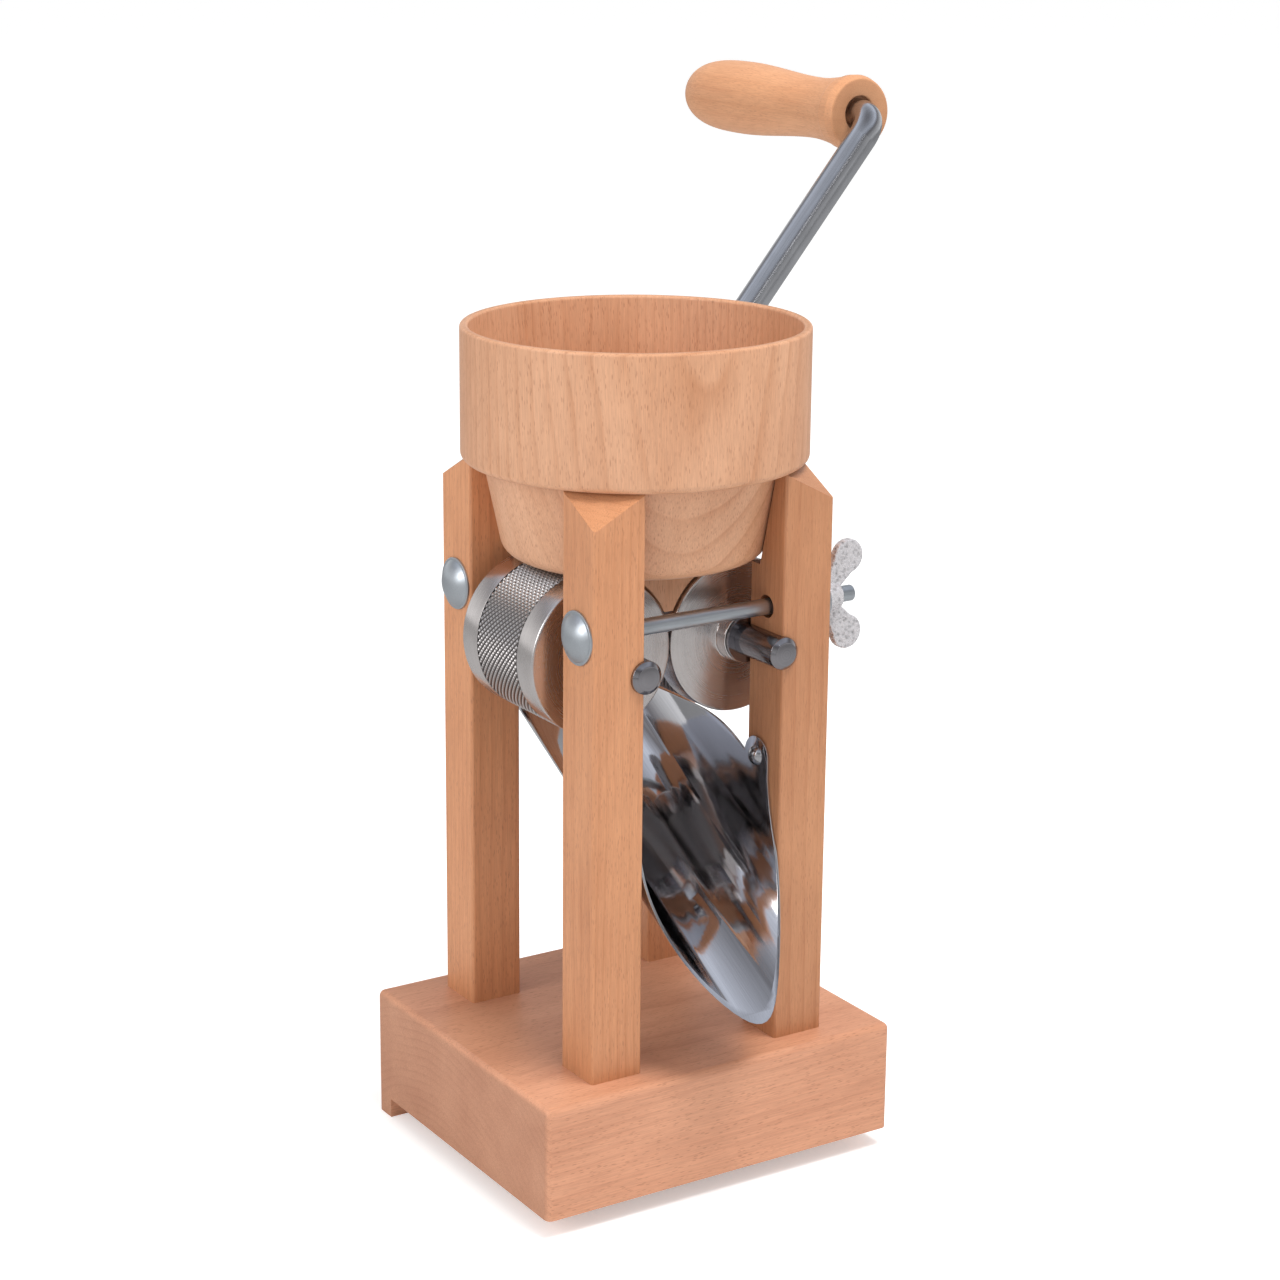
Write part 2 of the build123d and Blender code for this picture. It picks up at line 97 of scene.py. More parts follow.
class GroupMaker:
    """Builds one shader node group with named inputs and outputs."""

    def __init__(self, name: str) -> None:
        """Starts an empty group called name."""
        self.tree = bpy.data.node_groups.new(name, "ShaderNodeTree")
        self.entry = self.tree.nodes.new("NodeGroupInput")
        self.exit = self.tree.nodes.new("NodeGroupOutput")

    def takes(self, name: str, kind: str, start: float | None = None) -> None:
        """Adds an input socket.

        Args:
            name: The socket's name.
            kind: "Float", "Vector" or "Color".
            start: The value that it has when nothing feeds it.
        """
        socket = self.tree.interface.new_socket(
            name, in_out="INPUT", socket_type=f"NodeSocket{kind}"
        )
        if start is not None:
            socket.default_value = start

    def gives(self, name: str, kind: str) -> None:
        """Adds an output socket of the given kind."""
        self.tree.interface.new_socket(
            name, in_out="OUTPUT", socket_type=f"NodeSocket{kind}"
        )


class Wiring:
    """Adds nodes to a tree and joins them, a line each."""

    def __init__(self, tree: bpy.types.NodeTree) -> None:
        """Works on tree."""
        self.tree = tree

    def node(self, kind: str, feeds: dict | None = None, **settings: object) -> bpy.types.Node:
        """Adds a node.

        Args:
            kind: The node's type without the "ShaderNode" prefix.
            feeds: Input name or number to a value or an output socket.
            **settings: Properties of the node itself.

        Returns:
            The node.
        """
        made = self.tree.nodes.new(f"ShaderNode{kind}")
        for key, value in settings.items():
            setattr(made, key, value)
        for key, value in (feeds or {}).items():
            if isinstance(value, bpy.types.NodeSocket):
                self.tree.links.new(value, made.inputs[key])
            else:
                made.inputs[key].default_value = value
        return made

    def sums(self, operation: str, *values: object) -> bpy.types.NodeSocket:
        """Returns the output of a Math node that works on one to three values."""
        return self.node("Math", dict(enumerate(values)), operation=operation).outputs[0]

    def scaled(self, vector: object, by: Sequence[float]) -> bpy.types.NodeSocket:
        """Returns a vector multiplied by a size for each axis."""
        return self.node(
            "VectorMath", {0: vector, 1: tuple(by)}, operation="MULTIPLY"
        ).outputs[0]

    def noise(self, vector: object, scale: float, detail: float = 2.0, rough: float = 0.5) -> bpy.types.NodeSocket:
        """Returns a noise from 0 to 1 over a vector."""
        return self.node(
            "TexNoise", {"Vector": vector, "Scale": scale, "Detail": detail, "Roughness": rough}
        ).outputs["Fac"]

    def ramp(self, value: object, stops: Sequence[tuple[float, Sequence[float]]]) -> bpy.types.NodeSocket:
        """Returns a colour looked up along stops of (place, linear RGB)."""
        made = self.node("ValToRGB", {"Fac": value})
        elements = made.color_ramp.elements
        while len(elements) < len(stops):
            elements.new(1.0)
        for element, (place, colour) in zip(elements, stops):
            element.position = place
            element.color = (*colour, 1.0)
        return made.outputs["Color"]

    def span(self, value: object, low: float, high: float, to_low: float = 0.0, to_high: float = 1.0) -> bpy.types.NodeSocket:
        """Returns a value carried from one range to another, held at its ends."""
        return self.node(
            "MapRange", {0: value, 1: low, 2: high, 3: to_low, 4: to_high}
        ).outputs[0]

    def tint(self, mask: object, base: object, over: object, blend: str = "MIX") -> bpy.types.NodeSocket:
        """Returns base with over laid on it where mask is 1."""
        made = self.node("Mix", {0: mask, 6: base, 7: over}, data_type="RGBA", blend_type=blend)
        return made.outputs[2]


def grain_group() -> bpy.types.NodeTree:
    """Builds the beech figure: growth rings, fine pores, ray flecks and a height.

    The wood's length is the group vector's Z and the log's heart is at X and Y
    of 0, so a material turns and shifts its object coordinates to suit the piece.

    Returns:
        The node group.
    """
    made = GroupMaker("beech_figure")
    made.takes("Vector", "Vector")
    made.takes("Ring width", "Float", 4.0)
    made.takes("Sway", "Float", 12.0)
    for name in ("Rings", "Pores", "Flecks", "Mottle", "Height"):
        made.gives(name, "Float")
    w = Wiring(made.tree)
    place = w.scaled(made.entry.outputs["Vector"], (1000.0, 1000.0, 1000.0))
    # The log's heart wanders, which turns straight rings into pointed arches.
    wander = w.node(
        "TexNoise",
        {"Vector": w.scaled(place, (0.012, 0.012, 0.006)), "Scale": 1.0, "Detail": 3.0},
    ).outputs["Color"]
    pull = w.node("VectorMath", {0: wander, 1: (1.0, 1.0, 0.0)}, operation="MULTIPLY").outputs[0]
    pull = w.node(
        "VectorMath", {0: pull, "Scale": made.entry.outputs["Sway"]}, operation="SCALE"
    ).outputs[0]
    bent = w.node("VectorMath", {0: place, 1: pull}, operation="ADD").outputs[0]
    apart = w.node("SeparateXYZ", {0: bent})
    x, y = apart.outputs["X"], apart.outputs["Y"]
    reach = w.sums("SQRT", w.sums("ADD", w.sums("MULTIPLY", x, x), w.sums("MULTIPLY", y, y)))
    saw = w.sums("FRACT", w.sums("DIVIDE", reach, made.entry.outputs["Ring width"]))
    late = w.sums("MULTIPLY", w.sums("POWER", saw, 4.0), w.span(saw, 1.0, 0.93))
    soft = w.noise(w.scaled(place, (0.05, 0.05, 0.02)), 1.0, 2.0)
    rings = w.sums("MULTIPLY", late, w.span(soft, 0.35, 0.65, 0.25, 1.0))
    pores = w.noise(w.scaled(place, (2.4, 2.4, 0.10)), 1.0, 3.0, 0.65)
    cells = w.node(
        "TexVoronoi",
        {"Vector": w.scaled(place, (1.4, 1.4, 0.25)), "Scale": 1.0, "Randomness": 1.0},
    ).outputs["Distance"]
    crowd = w.noise(w.scaled(place, (0.11, 0.11, 0.05)), 1.0, 2.0)
    flecks = w.sums("MULTIPLY", w.span(cells, 0.30, 0.16), w.span(crowd, 0.3, 0.6, 0.3, 1.0))
    mottle = w.noise(w.scaled(place, (0.05, 0.05, 0.012)), 1.0, 3.0, 0.6)
    height = w.sums("SUBTRACT", w.sums("MULTIPLY", pores, 0.5), w.sums("MULTIPLY", flecks, 0.6))
    for name, value in zip(
        ("Rings", "Pores", "Flecks", "Mottle", "Height"), (rings, pores, flecks, mottle, height)
    ):
        made.tree.links.new(value, made.exit.inputs[name])
    return made.tree


def tooling_group() -> bpy.types.NodeTree:
    """Builds the marks that turning, drawing and handling leave on metal.

    The group vector's X and Y run across the marks and Z along them.

    Returns:
        The node group.
    """
    made = GroupMaker(Marks.DRAWN.value)
    made.takes("Vector", "Vector")
    made.takes("Pitch", "Float", 0.3)
    for name in ("Marks", "Smears", "Height"):
        made.gives(name, "Float")
    w = Wiring(made.tree)
    place = w.scaled(made.entry.outputs["Vector"], (1000.0, 1000.0, 1000.0))
    fine = w.node(
        "VectorMath", {0: place, 1: made.entry.outputs["Pitch"]}, operation="DIVIDE"
    ).outputs[0]
    marks = w.noise(w.scaled(fine, (1.0, 1.0, 0.03)), 1.0, 4.0, 0.7)
    smears = w.noise(w.scaled(place, (0.06, 0.06, 0.06)), 1.0, 3.0, 0.6)
    specks = w.noise(place, 1.4, 2.0)
    height = w.sums("ADD", marks, w.sums("MULTIPLY", specks, 0.15))
    for name, value in zip(("Marks", "Smears", "Height"), (marks, smears, height)):
        made.tree.links.new(value, made.exit.inputs[name])
    return made.tree


def turning_group() -> bpy.types.NodeTree:
    """Builds the fine rings that a lathe leaves, on faces and round the outside.

    The group vector's Z runs along the axis, with the axis at X and Y of 0.

    Returns:
        The node group.
    """
    made = GroupMaker(Marks.TURNED.value)
    made.takes("Vector", "Vector")
    made.takes("Pitch", "Float", 0.3)
    for name in ("Marks", "Smears", "Height"):
        made.gives(name, "Float")
    w = Wiring(made.tree)
    place = w.scaled(made.entry.outputs["Vector"], (1000.0, 1000.0, 1000.0))
    apart = w.node("SeparateXYZ", {0: place})
    x, y = apart.outputs["X"], apart.outputs["Y"]
    out = w.sums("SQRT", w.sums("ADD", w.sums("MULTIPLY", x, x), w.sums("MULTIPLY", y, y)))
    rings = w.node("CombineXYZ", {"X": out, "Y": apart.outputs["Z"]}).outputs[0]
    fine = w.node(
        "VectorMath", {0: rings, 1: made.entry.outputs["Pitch"]}, operation="DIVIDE"
    ).outputs[0]
    marks = w.noise(fine, 1.0, 3.0, 0.6)
    smears = w.noise(w.scaled(place, (0.07, 0.07, 0.07)), 1.0, 3.0, 0.6)
    height = w.sums("ADD", marks, w.sums("MULTIPLY", w.noise(place, 1.2, 2.0), 0.1))
    for name, value in zip(("Marks", "Smears", "Height"), (marks, smears, height)):
        made.tree.links.new(value, made.exit.inputs[name])
    return made.tree


@dataclass(frozen=True)
class Beech:
    """Oiled beech, its grain along one axis of the frame."""

    name: str
    along: Along
    light: tuple[float, float, float] = (0.74, 0.42, 0.25)
    dark: tuple[float, float, float] = (0.55, 0.265, 0.14)
    fleck: tuple[float, float, float] = (0.34, 0.14, 0.07)
    heart: tuple[float, float, float] = (0.03, 0.07, 0.0)
    lean: float = 0.0
    ring_width: float = 4.2
    ring_share: float = 0.5
    sway: float = 12.0
    fleck_share: float = 0.6

    def material(self, figure: bpy.types.NodeTree) -> bpy.types.Material:
        """Builds the material.

        Args:
            figure: The beech figure group.

        Returns:
            The material.
        """
        made, w, shader = blank_material(self.name)
        turn = {
            Along.X: (0.0, math.pi / 2, 0.0),
            Along.Y: (math.pi / 2, 0.0, 0.0),
            Along.Z: (0.0, 0.0, 0.0),
        }[self.along]
        sides = w.node("TexCoord")
        place = w.node(
            "Mapping",
            {
                "Vector": sides.outputs["Object"],
                "Location": tuple(-h for h in self.heart),
                "Rotation": (turn[0] + self.lean, turn[1], turn[2]),
            },
        ).outputs[0]
        group = w.node("Group", node_tree=figure)
        w.tree.links.new(place, group.inputs["Vector"])
        group.inputs["Ring width"].default_value = self.ring_width
        group.inputs["Sway"].default_value = self.sway
        out = group.outputs
        tone = w.sums(
            "ADD",
            w.sums("MULTIPLY", out["Rings"], self.ring_share),
            w.sums("MULTIPLY", w.span(out["Mottle"], 0.3, 0.7), 0.5),
        )
        middle_tone = tuple((a + b) / 2 for a, b in zip(self.light, self.dark))
        colour = w.ramp(tone, ((0.0, self.light), (0.5, middle_tone), (1.0, self.dark)))
        # End grain soaks up the oil and looks darker.
        length = tuple(1.0 if i == self.along.value else 0.0 for i in range(3))
        facing = w.node(
            "VectorMath", {0: sides.outputs["Normal"], 1: length}, operation="DOT_PRODUCT"
        ).outputs["Value"]
        ends = w.span(w.sums("ABSOLUTE", facing), 0.75, 1.0, 1.0, 0.8)
        shade = w.sums("MULTIPLY", w.span(out["Pores"], 0.35, 0.7, 1.05, 0.86), ends)
        grey = w.node("CombineColor", {0: shade, 1: shade, 2: shade}).outputs[0]
        colour = w.tint(1.0, colour, grey, "MULTIPLY")
        mask = w.sums("MULTIPLY", out["Flecks"], self.fleck_share)
        colour = w.tint(mask, colour, (*self.fleck, 1.0))
        w.tree.links.new(colour, shader.inputs["Base Color"])
        w.tree.links.new(w.span(out["Pores"], 0.3, 0.7, 0.36, 0.52), shader.inputs["Roughness"])
        bump = w.node("Bump", {"Height": out["Height"], "Strength": 0.2, "Distance": 0.0002})
        w.tree.links.new(bump.outputs[0], shader.inputs["Normal"])
        shader.inputs["Specular IOR Level"].default_value = 0.42
        return made


@dataclass(frozen=True)
class KnurledSteel:
    """Steel whose cut grooves are painted dark, as painted shade."""

    name: str
    centre: tuple[float, float, float]
    radius: float
    depth: float
    colour: tuple[float, float, float] = (0.80, 0.76, 0.75)
    # Painted shade for the bottom of the grooves.
    groove_shade: tuple[float, float, float] = (0.09, 0.08, 0.08)

    def material(self) -> bpy.types.Material:
        """Builds the material."""
        made, w, shader = blank_material(self.name)
        place = w.node(
            "Mapping",
            {"Vector": w.node("TexCoord").outputs["Object"], "Location": self.centre},
            vector_type="TEXTURE",
        ).outputs[0]
        flat = w.node("VectorMath", {0: place, 1: (1, 0, 1)}, operation="MULTIPLY").outputs[0]
        reach = w.node("VectorMath", {0: flat}, operation="LENGTH").outputs["Value"]
        # Painted shade: the colour falls to near black down in the grooves.
        high = w.span(reach, self.radius - self.depth, self.radius)
        colour = w.ramp(high, ((0.1, self.groove_shade), (0.8, self.colour)))
        w.tree.links.new(colour, shader.inputs["Base Color"])
        w.tree.links.new(w.span(high, 0.0, 1.0, 0.5, 0.24), shader.inputs["Roughness"])
        shader.inputs["Metallic"].default_value = 1.0
        return made


@dataclass(frozen=True)
class Steel:
    """A bare or plated steel with drawn or turned marks."""

    name: str
    along: Along
    marks: Marks = Marks.DRAWN
    centre: tuple[float, float, float] = (0.0, 0.0, 0.0)
    lean: float = 0.0
    colour: tuple[float, float, float] = (0.60, 0.58, 0.57)
    roughness: float = 0.25
    spread: float = 0.12
    pitch: float = 0.3
    relief: float = 0.12

    def material(self, groups: dict[Marks, bpy.types.NodeTree]) -> bpy.types.Material:
        """Builds the material.

        Args:
            groups: The node group for each kind of marks.

        Returns:
            The material.
        """
        made, w, shader = blank_material(self.name)
        turn = {
            Along.X: (0.0, math.pi / 2 + self.lean, 0.0),
            Along.Y: (math.pi / 2, 0.0, 0.0),
            Along.Z: (0.0, self.lean, 0.0),
        }[self.along]
        place = w.node(
            "Mapping",
            {
                "Vector": w.node("TexCoord").outputs["Object"],
                "Location": self.centre,
                "Rotation": turn,
            },
            vector_type="TEXTURE",
        ).outputs[0]
        group = w.node("Group", node_tree=groups[self.marks])
        w.tree.links.new(place, group.inputs["Vector"])
        group.inputs["Pitch"].default_value = self.pitch
        out = group.outputs
        tone = w.sums(
            "ADD",
            w.sums("MULTIPLY", out["Marks"], 0.5),
            w.sums("MULTIPLY", out["Smears"], 0.5),
        )
        dull = tuple(c * 0.82 for c in self.colour)
        bright = tuple(min(1.0, c * 1.12) for c in self.colour)
        w.tree.links.new(
            w.ramp(tone, ((0.3, dull), (0.7, bright))), shader.inputs["Base Color"]
        )
        half = self.spread / 2
        rough = w.span(tone, 0.3, 0.7, self.roughness + half, self.roughness - half)
        w.tree.links.new(rough, shader.inputs["Roughness"])
        bump = w.node(
            "Bump", {"Height": out["Height"], "Strength": self.relief, "Distance": 0.0001}
        )
        w.tree.links.new(bump.outputs[0], shader.inputs["Normal"])
        shader.inputs["Metallic"].default_value = 1.0
        return made


@dataclass(frozen=True)
class CastMetal:
    """Plated casting with the sandy dimples of its mould."""

    name: str
    colour: tuple[float, float, float] = (0.72, 0.70, 0.72)
    grain: float = 0.75
    relief: float = 1.0

    def material(self) -> bpy.types.Material:
        """Builds the material."""
        made, w, shader = blank_material(self.name)
        place = w.scaled(w.node("TexCoord").outputs["Object"], (1000.0, 1000.0, 1000.0))
        sand = w.noise(place, self.grain, 2.0, 0.6)
        pits = w.node("TexVoronoi", {"Vector": place, "Scale": self.grain * 0.8}).outputs["Distance"]
        height = w.sums("ADD", sand, w.sums("MULTIPLY", pits, 0.6))
        # Painted shade: the colour darkens to four tenths of itself down in the pits and dimples.
        shade = w.span(height, 0.4, 1.0)
        colour = w.ramp(shade, ((0.0, tuple(c * 0.4 for c in self.colour)), (0.7, self.colour)))
        shader.inputs["Metallic"].default_value = 0.45
        w.tree.links.new(colour, shader.inputs["Base Color"])
        w.tree.links.new(w.span(sand, 0.3, 0.7, 0.42, 0.22), shader.inputs["Roughness"])
        bump = w.node("Bump", {"Height": height, "Strength": self.relief, "Distance": 0.0005})
        w.tree.links.new(bump.outputs[0], shader.inputs["Normal"])
        return made


@dataclass(frozen=True)
class PolishedSheet:
    """Thin sheet polished like a mirror, with the slight waves of hand rolling."""

    name: str
    slope: float = 29.0
    colour: tuple[float, float, float] = (0.64, 0.64, 0.67)
    wave: float = 0.03
    waves_high: float = 0.0005

    def material(self) -> bpy.types.Material:
        """Builds the material."""
        made, w, shader = blank_material(self.name)
        along = w.node(
            "Mapping",
            {
                "Vector": w.node("TexCoord").outputs["Object"],
                "Rotation": (-math.radians(self.slope), 0.0, 0.0),
                "Scale": (1000.0, 1000.0, 1000.0),
            },
        ).outputs[0]
        waves = w.noise(w.scaled(along, (self.wave, self.wave * 0.4, self.wave)), 1.0, 1.0)
        rub = w.noise(w.scaled(along, (1.6, 0.05, 1.6)), 1.0, 3.0, 0.7)
        film = w.noise(w.scaled(along, (0.05, 0.03, 0.05)), 1.0, 3.0, 0.6)
        w.tree.links.new(w.span(film, 0.35, 0.7, 0.045, 0.13), shader.inputs["Roughness"])
        dull = tuple(c * 0.9 for c in self.colour)
        w.tree.links.new(w.ramp(rub, ((0.3, dull), (0.7, self.colour))), shader.inputs["Base Color"])
        height = w.sums("ADD", waves, w.sums("MULTIPLY", rub, 0.010))
        bump = w.node(
            "Bump", {"Height": height, "Strength": 1.0, "Distance": self.waves_high}
        )
        w.tree.links.new(bump.outputs[0], shader.inputs["Normal"])
        shader.inputs["Metallic"].default_value = 1.0
        return made


def blank_material(name: str) -> tuple[bpy.types.Material, Wiring, bpy.types.Node]:
    """Makes a material that holds only its shader and output.

    Args:
        name: The material's name.

    Returns:
        The material, its wiring and its Principled BSDF.
    """
    made = bpy.data.materials.new(name)
    made.use_nodes = True
    made.node_tree.nodes.clear()
    w = Wiring(made.node_tree)
    shader = w.node("BsdfPrincipled")
    w.node("OutputMaterial", {"Surface": shader.outputs[0]})
    return made, w, shader


def dress(piece: bpy.types.Object, material: bpy.types.Material) -> None:
    """Puts one material in each of an object's material slots."""
    if not piece.material_slots:
        piece.data.materials.append(material)
    for place in piece.material_slots:
        place.material = material


# ---------------------------------------------------------------- studio


@dataclass
class Studio:
    """The camera, the pale floor and the soft lights."""

    floor_z: float = -7.5 * MM
    target: tuple[float, float, float] = (-0.0300, 0.0000, 0.1400)
    room: float = 0.70
    backdrop: float = 1.1
    floor_glow: float = 0.34
    front_dim: float = 0.6
    mirrored_floor: float = 0.42

    def build(self) -> None:
        """Adds everything that isn't part of the mill."""
        self.add_camera()
        self.add_floor()
        self.add_world()
        self.add_softbox("key", (-1.45, -0.15, 0.85), (0.7, 0.7), 6.5)
        # The top light would burn out in the polished chute, so metal doesn't mirror it.
        top = self.add_softbox("top", (0.18, -0.48, 1.55), (0.6, 0.6), 18.0)
        top.visible_glossy = False
        # A strip that only shows in the metal draws the bright line on each bar.
        strip = self.add_softbox("strip", (-0.15, -1.5, 0.75), (0.07, 1.1), 0.45)
        strip.visible_diffuse = False
        settings = bpy.context.scene.view_settings
        settings.view_transform = "Standard"

    def add_camera(self) -> None:
        """Adds the camera at its viewing angle."""
        data = bpy.data.cameras.new("camera")
        data.lens = 80.4
        data.sensor_width = 36.0
        data.shift_x = 0.074
        data.shift_y = -0.040
        camera = bpy.data.objects.new("camera", data)
        bpy.context.scene.collection.objects.link(camera)
        camera.location = (-0.5473, -0.8501, 0.4788)
        back = Vector((-0.4965, -0.8282, 0.2598))
        camera.rotation_mode = "QUATERNION"
        camera.rotation_quaternion = (-back).to_track_quat("-Z", "Y")
        bpy.context.scene.camera = camera

    def add_floor(self) -> None:
        """Adds the pale floor at the foot of the base's lip."""
        bpy.ops.object.select_all(action="DESELECT")
        bpy.ops.mesh.primitive_circle_add(
            vertices=96, radius=9.0, fill_type="NGON", location=(0, 0, self.floor_z)
        )
        floor = bpy.context.object
        floor.name = "floor"
        bpy.ops.object.transform_apply()
        made, w, shader = blank_material("pale_floor")
        pale, shaded = (0.94,) * 3 + (1.0,), (self.mirrored_floor,) * 3 + (1.0,)
        rays = w.node("LightPath").outputs
        w.tree.links.new(w.tint(rays["Is Glossy Ray"], pale, shaded), shader.inputs["Base Color"])
        glow = w.sums("MULTIPLY", rays["Is Camera Ray"], self.floor_glow)
        shader.inputs["Emission Color"].default_value = (1.0, 1.0, 1.0, 1.0)
        w.tree.links.new(glow, shader.inputs["Emission Strength"])
        shader.inputs["Roughness"].default_value = 0.9
        shader.inputs["Specular IOR Level"].default_value = 0.0
        dress(floor, made)

    def add_world(self) -> None:
        """Adds the soft white room, which dims overhead where it is mirrored."""
        world = bpy.data.worlds.new("studio")
        bpy.context.scene.world = world
        world.use_nodes = True
        world.node_tree.nodes.clear()
        w = Wiring(world.node_tree)
        way = w.node("SeparateXYZ", {0: w.node("TexCoord").outputs["Generated"]})
        up = way.outputs["Z"]
        dim = w.ramp(
            up,
            (
                (0.0, (0.9, 0.9, 0.9)),
                (0.3, (0.6, 0.6, 0.6)),
                (0.52, (0.22, 0.21, 0.22)),
                (0.7, (0.80, 0.85, 0.95)),
                (1.0, (0.24, 0.24, 0.26)),
            ),
        )
        front = w.span(way.outputs["Y"], -1.0, 0.1, self.front_dim, 1.0)
        mirrored = w.node("Background", {"Color": dim, "Strength": front})
        rays = w.node("LightPath").outputs
        level = w.span(rays["Is Camera Ray"], 0.0, 1.0, self.room, self.backdrop)
        seen = w.node("Background", {"Color": (1, 1, 1, 1), "Strength": level})
        path = rays["Is Glossy Ray"]
        both = w.node("MixShader", {0: path, 1: seen.outputs[0], 2: mirrored.outputs[0]})
        w.node("OutputWorld", {"Surface": both.outputs[0]})

    def add_softbox(
        self,
        name: str,
        place: tuple[float, float, float],
        sides: tuple[float, float],
        power: float,
    ) -> bpy.types.Object:
        """Adds a softbox aimed at the mill.

        Args:
            name: The light's name.
            place: Where it stands, in metres.
            sides: Its width and height, in metres.
            power: Its power in watts.

        Returns:
            The softbox.
        """
        data = bpy.data.lights.new(name, "AREA")
        data.shape = "RECTANGLE"
        data.size, data.size_y = sides
        data.energy = power
        light = bpy.data.objects.new(name, data)
        bpy.context.scene.collection.objects.link(light)
        light.location = place
        aim = Vector(self.target) - Vector(place)
        light.rotation_mode = "QUATERNION"
        light.rotation_quaternion = aim.to_track_quat("-Z", "Y")
        return light


# ---------------------------------------------------------------- the bench


def alone(piece: bpy.types.Object) -> None:
    """Selects one piece and nothing else."""
    if bpy.context.mode != "OBJECT":
        bpy.ops.object.mode_set(mode="OBJECT")
    bpy.ops.object.select_all(action="DESELECT")
    piece.select_set(True)
    bpy.context.view_layer.objects.active = piece


def clear_bench() -> None:
    """Leaves object mode with nothing selected."""
    if bpy.context.mode != "OBJECT":
        bpy.ops.object.mode_set(mode="OBJECT")
    bpy.ops.object.select_all(action="DESELECT")


def rounded(outline: Sequence[tuple[float, ...]], steps: int = 6) -> list[tuple[float, float]]:
    """Rounds an outline's corners.

    Args:
        outline: (radius, height) for each corner, with a third number where
            the corner is rounded to that radius.
        steps: Facets in each rounded corner.

    Returns:
        The outline's points.
    """
    points = []
    for before, corner, after in zip([None, *outline], outline, [*outline[1:], None]):
        here = Vector(corner[:2])
        if len(corner) < 3 or before is None or after is None:
            points.append(tuple(here))
            continue
        back = (Vector(before[:2]) - here).normalized()
        on = (Vector(after[:2]) - here).normalized()
        half = math.acos(max(-1.0, min(1.0, back.dot(on)))) / 2
        reach = corner[2] / math.tan(half)
        start, end = here + back * reach, here + on * reach
        centre = here + (back + on).normalized() * (corner[2] / math.sin(half))
        for step in range(steps + 1):
            arm = (start - centre).lerp(end - centre, step / steps)
            points.append(tuple(centre + arm.normalized() * corner[2]))
    return points


